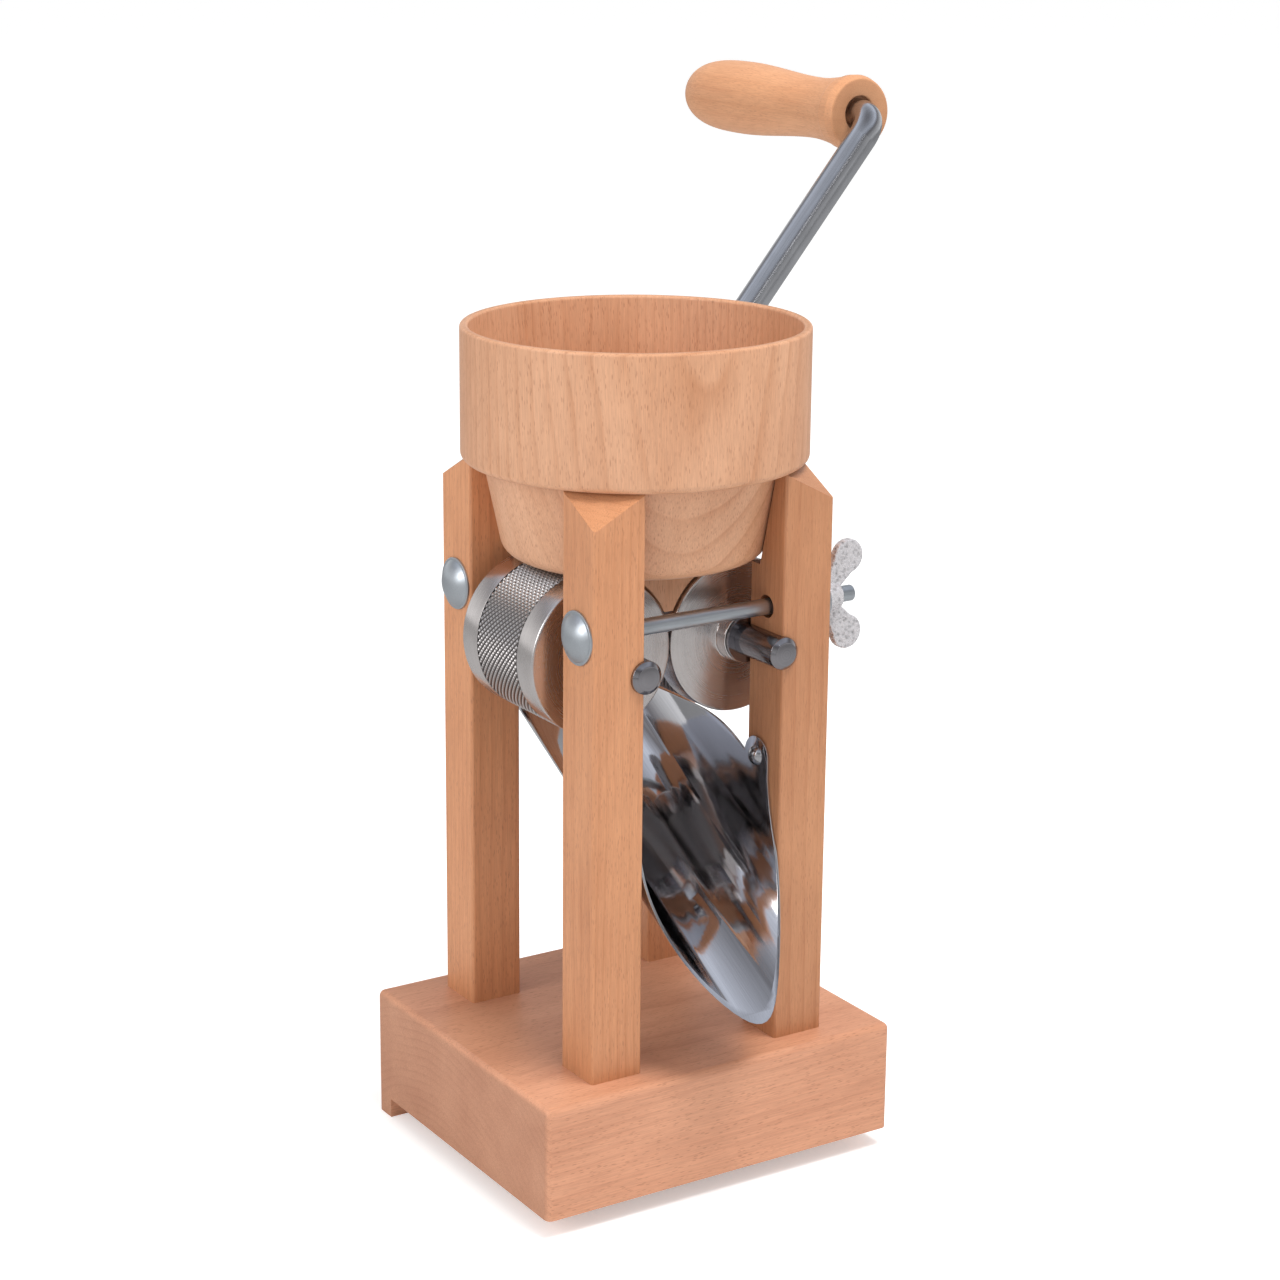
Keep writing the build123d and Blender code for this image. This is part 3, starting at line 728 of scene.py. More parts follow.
class Work:
    """One piece on the bench, shaped with Blender's own tools."""

    def __init__(self, name: str) -> None:
        """Takes the piece that was just added and names it."""
        self.piece = bpy.context.object
        self.piece.name = name
        self.piece.data.name = name
        bpy.ops.object.transform_apply(location=True, rotation=True, scale=True)

    @classmethod
    def block(cls, name: str, low: Sequence[float], high: Sequence[float]) -> "Work":
        """Returns a block between two corners."""
        clear_bench()
        centre = [(a + b) / 2 for a, b in zip(low, high)]
        size = [b - a for a, b in zip(low, high)]
        bpy.ops.mesh.primitive_cube_add(size=1.0, location=centre, scale=size)
        return cls(name)

    @classmethod
    def bar(cls, name: str, centre: Sequence[float], radius: float, length: float, along: Along, sides: int = 64) -> "Work":
        """Returns a round bar.

        Args:
            name: The piece's name.
            centre: The middle of the bar.
            radius: Its radius.
            length: Its length.
            along: The axis that it lies along.
            sides: Facets around it.

        Returns:
            The bar on the bench.
        """
        clear_bench()
        turn = {
            Along.X: (0.0, math.pi / 2, 0.0),
            Along.Y: (math.pi / 2, 0.0, 0.0),
            Along.Z: (0.0, 0.0, 0.0),
        }[along]
        bpy.ops.mesh.primitive_cylinder_add(
            vertices=sides, radius=radius, depth=length, location=centre, rotation=turn
        )
        return cls(name)

    @classmethod
    def turned(
        cls,
        name: str,
        outline: Sequence[tuple[float, float]],
        centre: Sequence[float],
        along: Along,
        steps: int = 96,
    ) -> "Work":
        """Turns an outline about an axis, as on a lathe.

        Args:
            name: The piece's name.
            outline: (radius, height along the axis) for each point.
            centre: The point of the axis at height nought.
            along: The axis that the piece is turned about.
            steps: Facets around it.

        Returns:
            The turned piece on the bench.
        """
        radial = Vector((0, 1, 0)) if along is Along.X else Vector((1, 0, 0))
        length = Vector([1.0 if i == along.value else 0.0 for i in range(3)])
        middle = Vector(centre)
        points = [middle + radial * r + length * h for r, h in outline]
        clear_bench()
        bpy.ops.mesh.primitive_plane_add(size=1.0, location=points[0])
        work = cls(name)
        bpy.ops.object.mode_set(mode="EDIT")
        bpy.ops.mesh.select_mode(type="VERT")
        bpy.ops.mesh.merge(type="CENTER")
        for start, end in zip(points, points[1:]):
            bpy.ops.mesh.extrude_region_move(TRANSFORM_OT_translate={"value": end - start})
        bpy.ops.mesh.select_all(action="SELECT")
        bpy.ops.mesh.spin(steps=steps, angle=2 * math.pi, center=middle, axis=length)
        bpy.ops.mesh.select_all(action="SELECT")
        bpy.ops.mesh.remove_doubles(threshold=1e-6)
        bpy.ops.mesh.normals_make_consistent(inside=False)
        bpy.ops.object.mode_set(mode="OBJECT")
        return work

    def pick(self, kind: str, test: Callable[[Vector, Vector], bool]) -> int:
        """Selects the vertices, edges or faces that pass a test, in edit mode.

        Args:
            kind: "VERT", "EDGE" or "FACE".
            test: Given an element's middle and its normal.

        Returns:
            How many were selected.
        """
        alone(self.piece)
        bpy.ops.object.mode_set(mode="EDIT")
        bpy.ops.mesh.select_mode(type=kind)
        bpy.ops.mesh.select_all(action="DESELECT")
        bpy.ops.object.mode_set(mode="OBJECT")
        mesh = self.piece.data
        count = 0
        if kind == "FACE":
            for face in mesh.polygons:
                face.select = test(face.center, face.normal)
                count += face.select
        elif kind == "VERT":
            for vertex in mesh.vertices:
                vertex.select = test(vertex.co, vertex.normal)
                count += vertex.select
        else:
            for edge in mesh.edges:
                a, b = (mesh.vertices[v] for v in edge.vertices)
                edge.select = test((a.co + b.co) / 2, (b.co - a.co).normalized())
                count += edge.select
        bpy.ops.object.mode_set(mode="EDIT")
        return count

    def apply(self, kind: str, **settings: object) -> None:
        """Adds a modifier with these settings and applies it."""
        alone(self.piece)
        modifier = self.piece.modifiers.new(kind.lower(), kind)
        for key, value in settings.items():
            setattr(modifier, key, value)
        bpy.ops.object.modifier_apply(modifier=modifier.name)

    def soften(self, width: float, segments: int = 3, angle: float = 30.0) -> None:
        """Rounds every edge sharper than an angle."""
        self.apply(
            "BEVEL", width=width, segments=segments, limit_method="ANGLE",
            angle_limit=math.radians(angle), harden_normals=False,
        )

    def cut(self, tool: "Work", operation: str = "DIFFERENCE") -> None:
        """Cuts, joins or trims the piece with another, which is used up."""
        self.apply("BOOLEAN", object=tool.piece, operation=operation, solver="EXACT")
        alone(tool.piece)
        bpy.ops.object.delete()

    def join(self, other: "Work") -> None:
        """Makes another piece part of this one's mesh."""
        alone(self.piece)
        other.piece.select_set(True)
        bpy.ops.object.join()

    def copied(self, name: str, shift: Sequence[float] = (0, 0, 0)) -> "Work":
        """Returns a copy with its own mesh, moved by shift."""
        alone(self.piece)
        bpy.ops.object.duplicate(linked=False)
        bpy.ops.transform.translate(value=shift)
        return Work(name)

    def shade(self, angle: float = 35.0) -> None:
        """Shades smooth, except across edges sharper than an angle."""
        alone(self.piece)
        bpy.ops.object.shade_smooth_by_angle(angle=math.radians(angle), keep_sharp_edges=False)

    def fit(self, body: Body, slot: Slot, material: bpy.types.Material, *nodes: str) -> None:
        """Puts the finished piece on the mill.

        Args:
            body: The body that it moves with.
            slot: Its finish in the maker's list; not used.
            material: Its material.
            *nodes: The solid parts that it stands for.
        """
        clear_bench()
        dress(self.piece, material)
        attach(self.piece, body.value)
        if nodes:
            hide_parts(*nodes)
        log.info("%s: %d faces", self.piece.name, len(self.piece.data.polygons))


def middle(node: str) -> Vector:
    """Returns the centre of a solid part's box."""
    low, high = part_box(node)
    return (low + high) / 2


# ---------------------------------------------------------------- the mill


@dataclass
class Rollers:
    """Two steel rollers, each with a knurled band between two plain ones."""

    length: float = 49.5 * MM
    knurl_length: float = 27.45 * MM
    knurl_depth: float = 0.6 * MM
    diamonds: int = 76
    steps_each: int = 4
    edge_round: float = 0.7 * MM
    hub_radius: float = 9.3 * MM
    hub_length: float = 5.4 * MM
    bore: float = 6.02 * MM
    neck: float = 0.45 * MM
    finishes: dict[str, bpy.types.Material] = field(default_factory=dict)

    def build(self) -> None:
        """Builds both rollers."""
        for side, body in (("left", Body.IDLE_ROLLER), ("right", Body.CRANK)):
            low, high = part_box(f"{side}_roller")
            centre = (low + high) / 2
            radius = (high.x - low.x) / 2
            self.turn_body(side, body, centre, radius)
            self.cut_knurl(side, body, centre, radius)

    def turn_body(self, side: str, body: Body, centre: Vector, radius: float) -> None:
        """Turns the roller with its hubs, and a seat for the knurled band."""
        half, knurl = self.length / 2, self.knurl_length / 2
        hub_end = half + self.hub_length
        one_end = [
            (self.bore, hub_end),
            (self.hub_radius, hub_end, 0.5 * MM),
            (self.hub_radius, half, 0.6 * MM),
            (radius, half, self.edge_round),
            (radius, knurl + self.neck, 0.12 * MM),
            (radius - 2 * self.knurl_depth, knurl + self.neck),
        ]
        other_end = [(r, -h, *rest) for r, h, *rest in reversed(one_end)]
        outline = rounded(one_end + other_end, 4)
        work = Work.turned(f"{side}_roller_body", outline, centre, Along.Y, 144)
        work.shade(25)
        work.fit(body, Slot.TURNED, self.finishes[side], f"{side}_roller")

    def cut_knurl(self, side: str, body: Body, centre: Vector, radius: float) -> None:
        """Cuts crossed grooves into a sleeve, which leaves rows of diamonds."""
        half = self.knurl_length / 2
        around = self.diamonds * self.steps_each
        along = 2 * round(self.knurl_length / (2 * math.pi * radius) * around / 2)
        work = Work.turned(
            f"{side}_roller_knurl", [(radius, -half), (radius, half)], centre, Along.Y, around
        )
        work.pick("EDGE", lambda at, way: abs(way.y) > 0.9)
        bpy.ops.mesh.subdivide(number_cuts=along - 1)
        period = self.steps_each

        def level(at: Vector) -> int:
            """Returns how far a point stands above the grooves, from 0 to 2."""
            turn = round(math.atan2(at.z - centre.z, at.x - centre.x) / (2 * math.pi) * around)
            row = round((at.y - centre.y + half) / self.knurl_length * along)
            across = (turn + row) % period, (turn - row) % period
            return min(min(a, period - a) for a in across)

        for height, depth in ((0, self.knurl_depth), (1, self.knurl_depth / 2)):
            bpy.ops.object.mode_set(mode="OBJECT")
            picked = {v.index for v in work.piece.data.vertices if level(v.co) == height}
            chosen = iter(range(len(work.piece.data.vertices)))
            work.pick("VERT", lambda at, way: next(chosen) in picked)
            share = (radius - depth) / radius
            bpy.ops.transform.resize(value=(share, 1, share), center_override=centre)
        bpy.ops.object.mode_set(mode="OBJECT")
        steel = KnurledSteel(f"{side}_knurl_steel", tuple(centre), radius, self.knurl_depth)
        work.fit(body, Slot.TURNED, steel.material())


@dataclass
class Shafts:
    """The rollers' shafts: bright bar, chamfered and faced on the lathe."""

    chamfer: float = 1.6 * MM
    crown: float = 0.35 * MM
    crown_steps: int = 6
    edge_round: float = 0.3 * MM
    spigot_radius: float = 4.0 * MM
    spigot_length: float = 16.0 * MM
    pin_radius: float = 2.0 * MM
    finishes: dict[str, bpy.types.Material] = field(default_factory=dict)

    def build(self) -> None:
        """Builds the plain shaft on the left and the cranked one on the right."""
        for side, body in (("left", Body.IDLE_ROLLER), ("right", Body.CRANK)):
            low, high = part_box(f"{side}_shaft")
            centre = (low + high) / 2
            radius, length = (high.x - low.x) / 2, high.y - low.y
            front = self.faced_end(radius)
            if body is Body.CRANK:
                back = [
                    (radius, length, self.edge_round),
                    (self.spigot_radius, length),
                    (self.spigot_radius, length - self.spigot_length),
                    (0.0, length - self.spigot_length),
                ]
            else:
                back = [(r, length - h, *rest) for r, h, *rest in reversed(front)]
            foot = (centre.x, low.y, centre.z)
            work = Work.turned(f"{side}_shaft_turned", rounded(front + back, 3), foot, Along.Y)
            drill = Work.bar("drill", (centre.x, 0.0, centre.z), self.pin_radius, 3 * radius, Along.Z)
            work.cut(drill, "DIFFERENCE")
            work.shade(30)
            work.fit(body, Slot.BAR, self.finishes[side], f"{side}_shaft")

    def faced_end(self, radius: float) -> list[tuple[float, ...]]:
        """Returns the outline of an end that the lathe left a little crowned."""
        flat = radius - self.chamfer
        steps = [i / self.crown_steps for i in range(self.crown_steps)]
        crown = [(flat * step, self.crown * step**2) for step in steps]
        return [*crown, (flat, self.crown, self.edge_round), (radius, self.chamfer, self.edge_round)]


@dataclass
class SqueezeBolts:
    """Two round-headed bolts with washers and cast wing nuts."""

    head_flange: float = 0.9 * MM
    dome_inset: float = 1.0 * MM
    dome_steps: int = 10
    shank_radius: float = 3.0 * MM
    hub_foot: float = 6.0 * MM
    hub_top: float = 5.0 * MM
    hub_height: float = 8.5 * MM
    lobe_radius: float = 6.4 * MM
    lobe_thickness: float = 3.0 * MM
    lobe_out: float = 14.2 * MM
    lobe_up: float = 12.6 * MM
    cast_grain: float = 0.36 * MM
    finishes: dict[str, bpy.types.Material] = field(default_factory=dict)

    def build(self) -> None:
        """Builds the front set, then the back one."""
        for end, washer, nut in (
            ("front", Body.FRONT_WASHER, Body.FRONT_NUT),
            ("back", Body.BACK_WASHER, Body.BACK_NUT),
        ):
            self.turn_bolt(end)
            self.press_washer(end, washer)
            self.cast_nut(end, nut)

    def turn_bolt(self, end: str) -> None:
        """Turns a bolt with a flanged dome for a head."""
        low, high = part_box(f"{end}_bolt")
        head_radius = (high.y - low.y) / 2
        neck_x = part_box("post_front_left")[0].x - low.x
        dome_radius = head_radius - self.dome_inset
        dome_height = neck_x - self.head_flange
        ball = (dome_radius**2 + dome_height**2) / (2 * dome_height)
        spread = math.asin(dome_radius / ball)
        dome = [
            (ball * math.sin(spread * i / self.dome_steps), ball * (1 - math.cos(spread * i / self.dome_steps)))
            for i in range(self.dome_steps + 1)
        ]
        dome[0] = (0.0, 0.0)
        length = high.x - low.x
        outline = dome + rounded(
            [
                (dome_radius, dome_height),
                (head_radius, dome_height + 0.05 * MM, 0.3 * MM),
                (head_radius, neck_x),
                (self.shank_radius, neck_x),
                (self.shank_radius, length, 0.6 * MM),
                (0.0, length),
            ],
            4,
        )[1:]
        at = (low.x, middle(f"{end}_bolt").y, middle(f"{end}_bolt").z)
        work = Work.turned(f"{end}_bolt_turned", outline, at, Along.X, 64)
        work.shade(28)
        work.fit(Body.STAND, Slot.PLATED, self.finishes["zinc"], f"{end}_bolt")

    def press_washer(self, end: str, body: Body) -> None:
        """Presses a washer with one rolled edge."""
        low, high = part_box(f"{end}_washer")
        thick, radius = high.x - low.x, (high.y - low.y) / 2
        hole = self.shank_radius + 0.1 * MM
        outline = [
            (hole, 0.0),
            (radius, 0.0, 0.15 * MM),
            (radius, thick, 0.45 * MM),
            (hole, thick, 0.2 * MM),
            (hole, 0.0),
        ]
        at = (low.x, middle(f"{end}_washer").y, middle(f"{end}_washer").z)
        work = Work.turned(f"{end}_washer_pressed", rounded(outline, 4), at, Along.X, 64)
        work.shade(28)
        work.fit(body, Slot.PLATED, self.finishes["zinc"], f"{end}_washer")

    def cast_nut(self, end: str, body: Body) -> None:
        """Casts a wing nut: a stubby hub with two ears that grow out of it."""
        low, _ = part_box(f"{end}_wing_nut")
        centre = middle(f"{end}_wing_nut")
        hub_outline = rounded(
            [
                (self.shank_radius * 0.98, 0.0),
                (self.hub_foot, 0.0, 0.5 * MM),
                (self.hub_foot * 0.95, self.hub_height * 0.3, 1.5 * MM),
                (self.hub_top, self.hub_height, 0.7 * MM),
                (self.shank_radius * 0.98, self.hub_height),
                (self.shank_radius * 0.98, 0.0),
            ],
            4,
        )
        at = Vector((low.x, centre.y, centre.z))
        nut = Work.turned(f"{end}_wing_nut_cast", hub_outline, at, Along.X, 48)
        for up in (1, -1):
            nut.join(self.cast_ear(at, up))
        nut.apply("REMESH", mode="VOXEL", voxel_size=self.cast_grain)
        nut.apply("SMOOTH", factor=0.5, iterations=4)
        nut.shade(60)
        nut.fit(body, Slot.WING, self.finishes["cast"], f"{end}_wing_nut")

    def cast_ear(self, at: Vector, up: int) -> Work:
        """Draws one ear out of a round blank.

        Args:
            at: The middle of the nut's foot.
            up: 1 for the upper ear and -1 for the lower one.

        Returns:
            The ear.
        """
        lobe = at + Vector((self.lobe_up, 0.0, up * self.lobe_out))
        ear = Work.bar("ear", lobe, self.lobe_radius, self.lobe_thickness, Along.Y, 24)
        root = at + Vector((self.hub_height * 0.5, 0.0, up * self.shank_radius))
        way = (root - lobe).normalized()
        ear.pick("FACE", lambda _, normal: normal.dot(way) > 0.62)
        drawn = (root - lobe).length - self.lobe_radius * 0.75
        bpy.ops.mesh.extrude_region_move(
            TRANSFORM_OT_translate={"value": way * drawn}
        )
        bpy.ops.transform.resize(value=(0.6, 1.3, 0.6))
        bpy.ops.object.mode_set(mode="OBJECT")
        ear.soften(0.6 * MM, 2, 40)
        return ear


@dataclass
class Chute:
    """A polished sheet trough that slopes to the front and ends in a spoon's lip."""

    sheet: float = 1.0 * MM
    slope: float = 29.0
    arc_steps: int = 40
    run: float = 190.0 * MM
    lug_radius: float = 7.2 * MM
    edge_round: float = 0.22 * MM
    screw_head: float = 3.8 * MM
    screw_rise: float = 2.6 * MM
    shank: float = 1.75 * MM
    finishes: dict[str, bpy.types.Material] = field(default_factory=dict)

    def build(self) -> None:
        """Builds the trough and its four screws."""
        self.form_sheet()
        self.set_screws()

    def form_sheet(self) -> None:
        """Rolls the trough, then trims its side view."""
        low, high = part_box("chute")
        half = (high.x - low.x) / 2
        slope = math.radians(self.slope)
        down = Vector((0, -math.cos(slope), -math.sin(slope)))
        lift = Vector((0, -math.sin(slope), math.cos(slope)))
        tip = Vector((0, low.y, low.z))
        centre = tip + lift * half
        wall_top = centre + lift * 3 * half
        clear_bench()
        bpy.ops.mesh.primitive_plane_add(size=1.0, location=wall_top + Vector((-half, 0, 0)))
        trough = Work("chute_sheet")
        bpy.ops.object.mode_set(mode="EDIT")
        bpy.ops.mesh.select_mode(type="VERT")
        bpy.ops.mesh.merge(type="CENTER")
        bpy.ops.mesh.extrude_region_move(TRANSFORM_OT_translate={"value": -lift * 3 * half})
        bpy.ops.mesh.spin(steps=self.arc_steps, angle=math.pi, center=centre, axis=-down)
        bpy.ops.mesh.extrude_region_move(TRANSFORM_OT_translate={"value": lift * 3 * half})
        bpy.ops.mesh.select_all(action="SELECT")
        bpy.ops.transform.translate(value=down * 12 * MM)
        bpy.ops.mesh.extrude_region_move(TRANSFORM_OT_translate={"value": -down * self.run})
        bpy.ops.mesh.select_all(action="SELECT")
        bpy.ops.mesh.remove_doubles(threshold=1e-6)
        bpy.ops.mesh.normals_make_consistent(inside=False)
        bpy.ops.object.mode_set(mode="OBJECT")
        trough.apply("SOLIDIFY", thickness=self.sheet, offset=self.inward(trough, centre))
        trough.cut(self.side_view(low, high), "INTERSECT")
        trough.soften(self.edge_round, 2, 50)
        trough.shade(25)
        trough.fit(Body.STAND, Slot.SHEET, self.finishes["sheet"], "chute")

    def inward(self, trough: Work, centre: Vector) -> float:
        """Returns the Solidify offset that grows the sheet towards the trough's middle."""
        outward = sum(
            face.area * face.normal.dot(face.center - centre) for face in trough.piece.data.polygons
        )
        return -1.0 if outward > 0 else 1.0

    def side_view(self, low: Vector, high: Vector) -> Work:
        """Cuts the block that trims the trough: level behind, a lug, then down to the lip.

        Args:
            low: The trimmed sheet's lowest corner.
            high: Its highest corner.

        Returns:
            The block.
        """
        lug_y, lug_z = self.screw_places()[0]
        front = lug_y - self.lug_radius
        outline = [(high.y, low.z - 1 * MM), (high.y, high.z), (0.0, high.z)]
        outline += [
            (lug_y + self.lug_radius + (0.0 - lug_y - self.lug_radius) * t, lug_z + (high.z - lug_z) * (1 - (1 - t) ** 2.2))
            for t in (0.8, 0.6, 0.45, 0.3, 0.2, 0.1)
        ]
        outline += [
            (lug_y + self.lug_radius * math.cos(math.radians(a)), lug_z + self.lug_radius * math.sin(math.radians(a)))
            for a in range(0, 181, 12)
        ]
        knee = (front, lug_z - self.lug_radius)
        outline.append(knee)
        bow = (lug_y - 21.3 * MM, low.z + 31.0 * MM)
        tip = (low.y, low.z)
        outline += list(self.arc_through(knee, bow, tip, 20))[1:]
        outline.append((low.y, low.z - 1 * MM))
        clear_bench()
        bpy.ops.mesh.primitive_plane_add(size=1.0, location=(low.x - 1 * MM, *outline[0]))
        block = Work("chute_trim")
        bpy.ops.object.mode_set(mode="EDIT")
        bpy.ops.mesh.select_mode(type="VERT")
        bpy.ops.mesh.merge(type="CENTER")
        for start, end in zip(outline, outline[1:]):
            step = (0.0, end[0] - start[0], end[1] - start[1])
            bpy.ops.mesh.extrude_region_move(TRANSFORM_OT_translate={"value": step})
        bpy.ops.mesh.select_all(action="SELECT")
        bpy.ops.mesh.edge_face_add()
        bpy.ops.mesh.extrude_region_move(
            TRANSFORM_OT_translate={"value": (high.x - low.x + 2 * MM, 0, 0)}
        )
        bpy.ops.mesh.select_all(action="SELECT")
        bpy.ops.mesh.normals_make_consistent(inside=False)
        bpy.ops.object.mode_set(mode="OBJECT")
        return block

    @staticmethod
    def arc_through(a: Sequence[float], b: Sequence[float], c: Sequence[float], steps: int) -> Iterable[tuple[float, float]]:
        """Gives points from a to c on the circle through a, b and c."""
        (ax, ay), (bx, by), (cx, cy) = a, b, c
        d = 2 * (ax * (by - cy) + bx * (cy - ay) + cx * (ay - by))
        sa, sb, sc = ax * ax + ay * ay, bx * bx + by * by, cx * cx + cy * cy
        ox = (sa * (by - cy) + sb * (cy - ay) + sc * (ay - by)) / d
        oy = (sa * (cx - bx) + sb * (ax - cx) + sc * (bx - ax)) / d
        start, end = math.atan2(ay - oy, ax - ox), math.atan2(cy - oy, cx - ox)
        radius = math.hypot(ax - ox, ay - oy)
        turn = (end - start + math.pi) % (2 * math.pi) - math.pi
        for step in range(steps + 1):
            angle = start + turn * step / steps
            yield ox + radius * math.cos(angle), oy + radius * math.sin(angle)

    def screw_places(self) -> list[tuple[float, float]]:
        """Returns (y, z) of the front and the back screws."""
        low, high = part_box("chute_screws")
        return [
            (low.y + self.screw_head, low.z + self.screw_head),
            (high.y - self.screw_head, high.z - self.screw_head),
        ]

    def set_screws(self) -> None:
        """Sets round-headed screws, each with a cross recess."""
        low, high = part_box("chute")
        inner_x = (high.x - low.x) / 2 - self.sheet
        outer_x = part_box("chute_screws")[1].x
        ball = (self.screw_head**2 + self.screw_rise**2) / (2 * self.screw_rise)
        spread = math.asin(self.screw_head / ball)
        dome = [
            (ball * math.sin(spread * i / 8), self.screw_rise - ball * (1 - math.cos(spread * i / 8)))
            for i in range(9)
        ]
        dome[0] = (0.0, self.screw_rise)
        shank = [(self.shank, 0.0), (self.shank, inner_x - outer_x), (0.0, inner_x - outer_x)]
        for place, (y, z) in zip(("front", "back"), self.screw_places()):
            at = Vector((-inner_x, y, z))
            left = Work.turned(f"chute_screw_{place}_left", dome + shank, at, Along.X, 40)
            for size in ((0.8, 3.4), (3.4, 0.8)):
                arm = Vector((1.0 * MM, size[0] / 2 * MM, size[1] / 2 * MM))
                head = at + Vector((self.screw_rise, 0, 0))
                left.cut(Work.block("recess", head - arm, head + arm))
            left.soften(0.15 * MM, 2, 50)
            left.shade(35)
            right = left.copied(f"chute_screw_{place}_right")
            bpy.ops.object.mode_set(mode="EDIT")
            bpy.ops.mesh.select_all(action="SELECT")
            bpy.ops.transform.resize(value=(-1, 1, 1), center_override=(0, y, z))
            bpy.ops.mesh.normals_make_consistent(inside=False)
            bpy.ops.object.mode_set(mode="OBJECT")
            for work in (left, right):
                first = work is left and place == "front"
                work.fit(Body.STAND, Slot.SCREW, self.finishes["screw"], *(["chute_screws"] if first else []))


@dataclass
class Hopper:
    """A turned bowl with a rolled rim, a step, a cone below it and two cheeks."""

    wall: float = 3.0 * MM
    bowl_depth: float = 33.0 * MM
    bowl_taper: float = 2.5 * MM
    floor_radius: float = 20.0 * MM
    floor: float = 6.0 * MM
    rim_round: float = 1.35 * MM
    step_round: float = 2.8 * MM
    foot_round: float = 7.0 * MM
    foot_radius: float = 47.6 * MM
    seat_inset: float = 3.35 * MM
    slot: tuple[float, float] = (18.0 * MM, 32.0 * MM)
    cheek: float = 7.5 * MM
    clear: float = 1.0 * MM
    finishes: dict[str, bpy.types.Material] = field(default_factory=dict)

    def build(self) -> None:
        """Turns the bowl, cuts its slot and hangs the cheeks."""
        low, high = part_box("hopper")
        post_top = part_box("post_front_left")[1].z
        post = middle("post_front_right")
        rim = (high.x - low.x) / 2
        roller = middle("right_roller")
        radius = (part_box("right_roller")[1].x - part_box("right_roller")[0].x) / 2
        foot = roller.z + radius + self.clear
        step = math.hypot(post.x, post.y) - self.seat_inset
        outline = rounded(
            [
                (0.0, foot),
                (self.foot_radius, foot, self.foot_round),
                (step, post_top, 0.8 * MM),
                (rim, post_top, self.step_round),
                (rim, high.z, self.rim_round),
                (rim - self.wall, high.z, self.rim_round),
                (rim - self.wall - self.bowl_taper, high.z - self.bowl_depth),
            ],
            8,
        )
        outline += self.hollow(rim - self.wall - self.bowl_taper, high.z - self.bowl_depth, foot + self.floor)
        bowl = Work.turned("hopper_turned", outline, (0, 0, 0), Along.Z, 192)
        half = Vector((self.slot[0] / 2, self.slot[1] / 2, 2 * self.floor))
        at = Vector((0, 0, foot + self.floor / 2))
        slot = Work.block("slot", at - half, at + half)
        slot.soften(2 * MM, 4, 60)
        bowl.cut(slot)
        bowl.shade(30)
        bowl.fit(Body.HOPPER, Slot.BEECH, self.finishes["hopper"], "hopper")
        self.hang_cheeks(low.z, foot, roller, radius)

    def hollow(self, edge: float, top: float, floor: float) -> list[tuple[float, float]]:
        """Curves the inside from the wall down to the floor.

        Args:
            edge: The wall's foot, out from the axis.
            top: The height of the wall's foot.
            floor: The height of the bowl's floor.

        Returns:
            (radius, height) points down to the middle of the floor.
        """
        drop, across = top - floor, edge - self.floor_radius
        ball = (across**2 + drop**2) / (2 * across)
        end = math.asin(min(1.0, drop / ball))
        steps = 18
        curve = [
            (edge - ball * (1 - math.cos(end * i / steps)), top - ball * math.sin(end * i / steps))
            for i in range(1, steps + 1)
        ]
        return curve + [(0.0, floor)]

    def hang_cheeks(self, low: float, foot: float, roller: Vector, radius: float) -> None:
        """Cuts the two cheeks that close the rollers' ends of the slot.

        Args:
            low: The foot of the cheeks.
            foot: The hopper's underside.
            roller: The right roller's centre.
            radius: Its radius.
        """
        for name, end in (("front", -1), ("back", 1)):
            near, far = end * self.slot[1] / 2, end * (self.slot[1] / 2 + self.cheek)
            cheek = Work.block(
                f"hopper_cheek_{name}",
                (-roller.x, min(near, far), low),
                (roller.x, max(near, far), foot + 0.5 * MM),
            )
            for side in (-1, 1):
                at = (side * roller.x, (near + far) / 2, roller.z)
                cheek.cut(Work.bar("relief", at, radius + self.clear, 4 * self.cheek, Along.Y, 256))
            cheek.soften(0.4 * MM, 2, 40)
            cheek.shade(30)
            cheek.fit(Body.HOPPER, Slot.BEECH, self.finishes["hopper"])


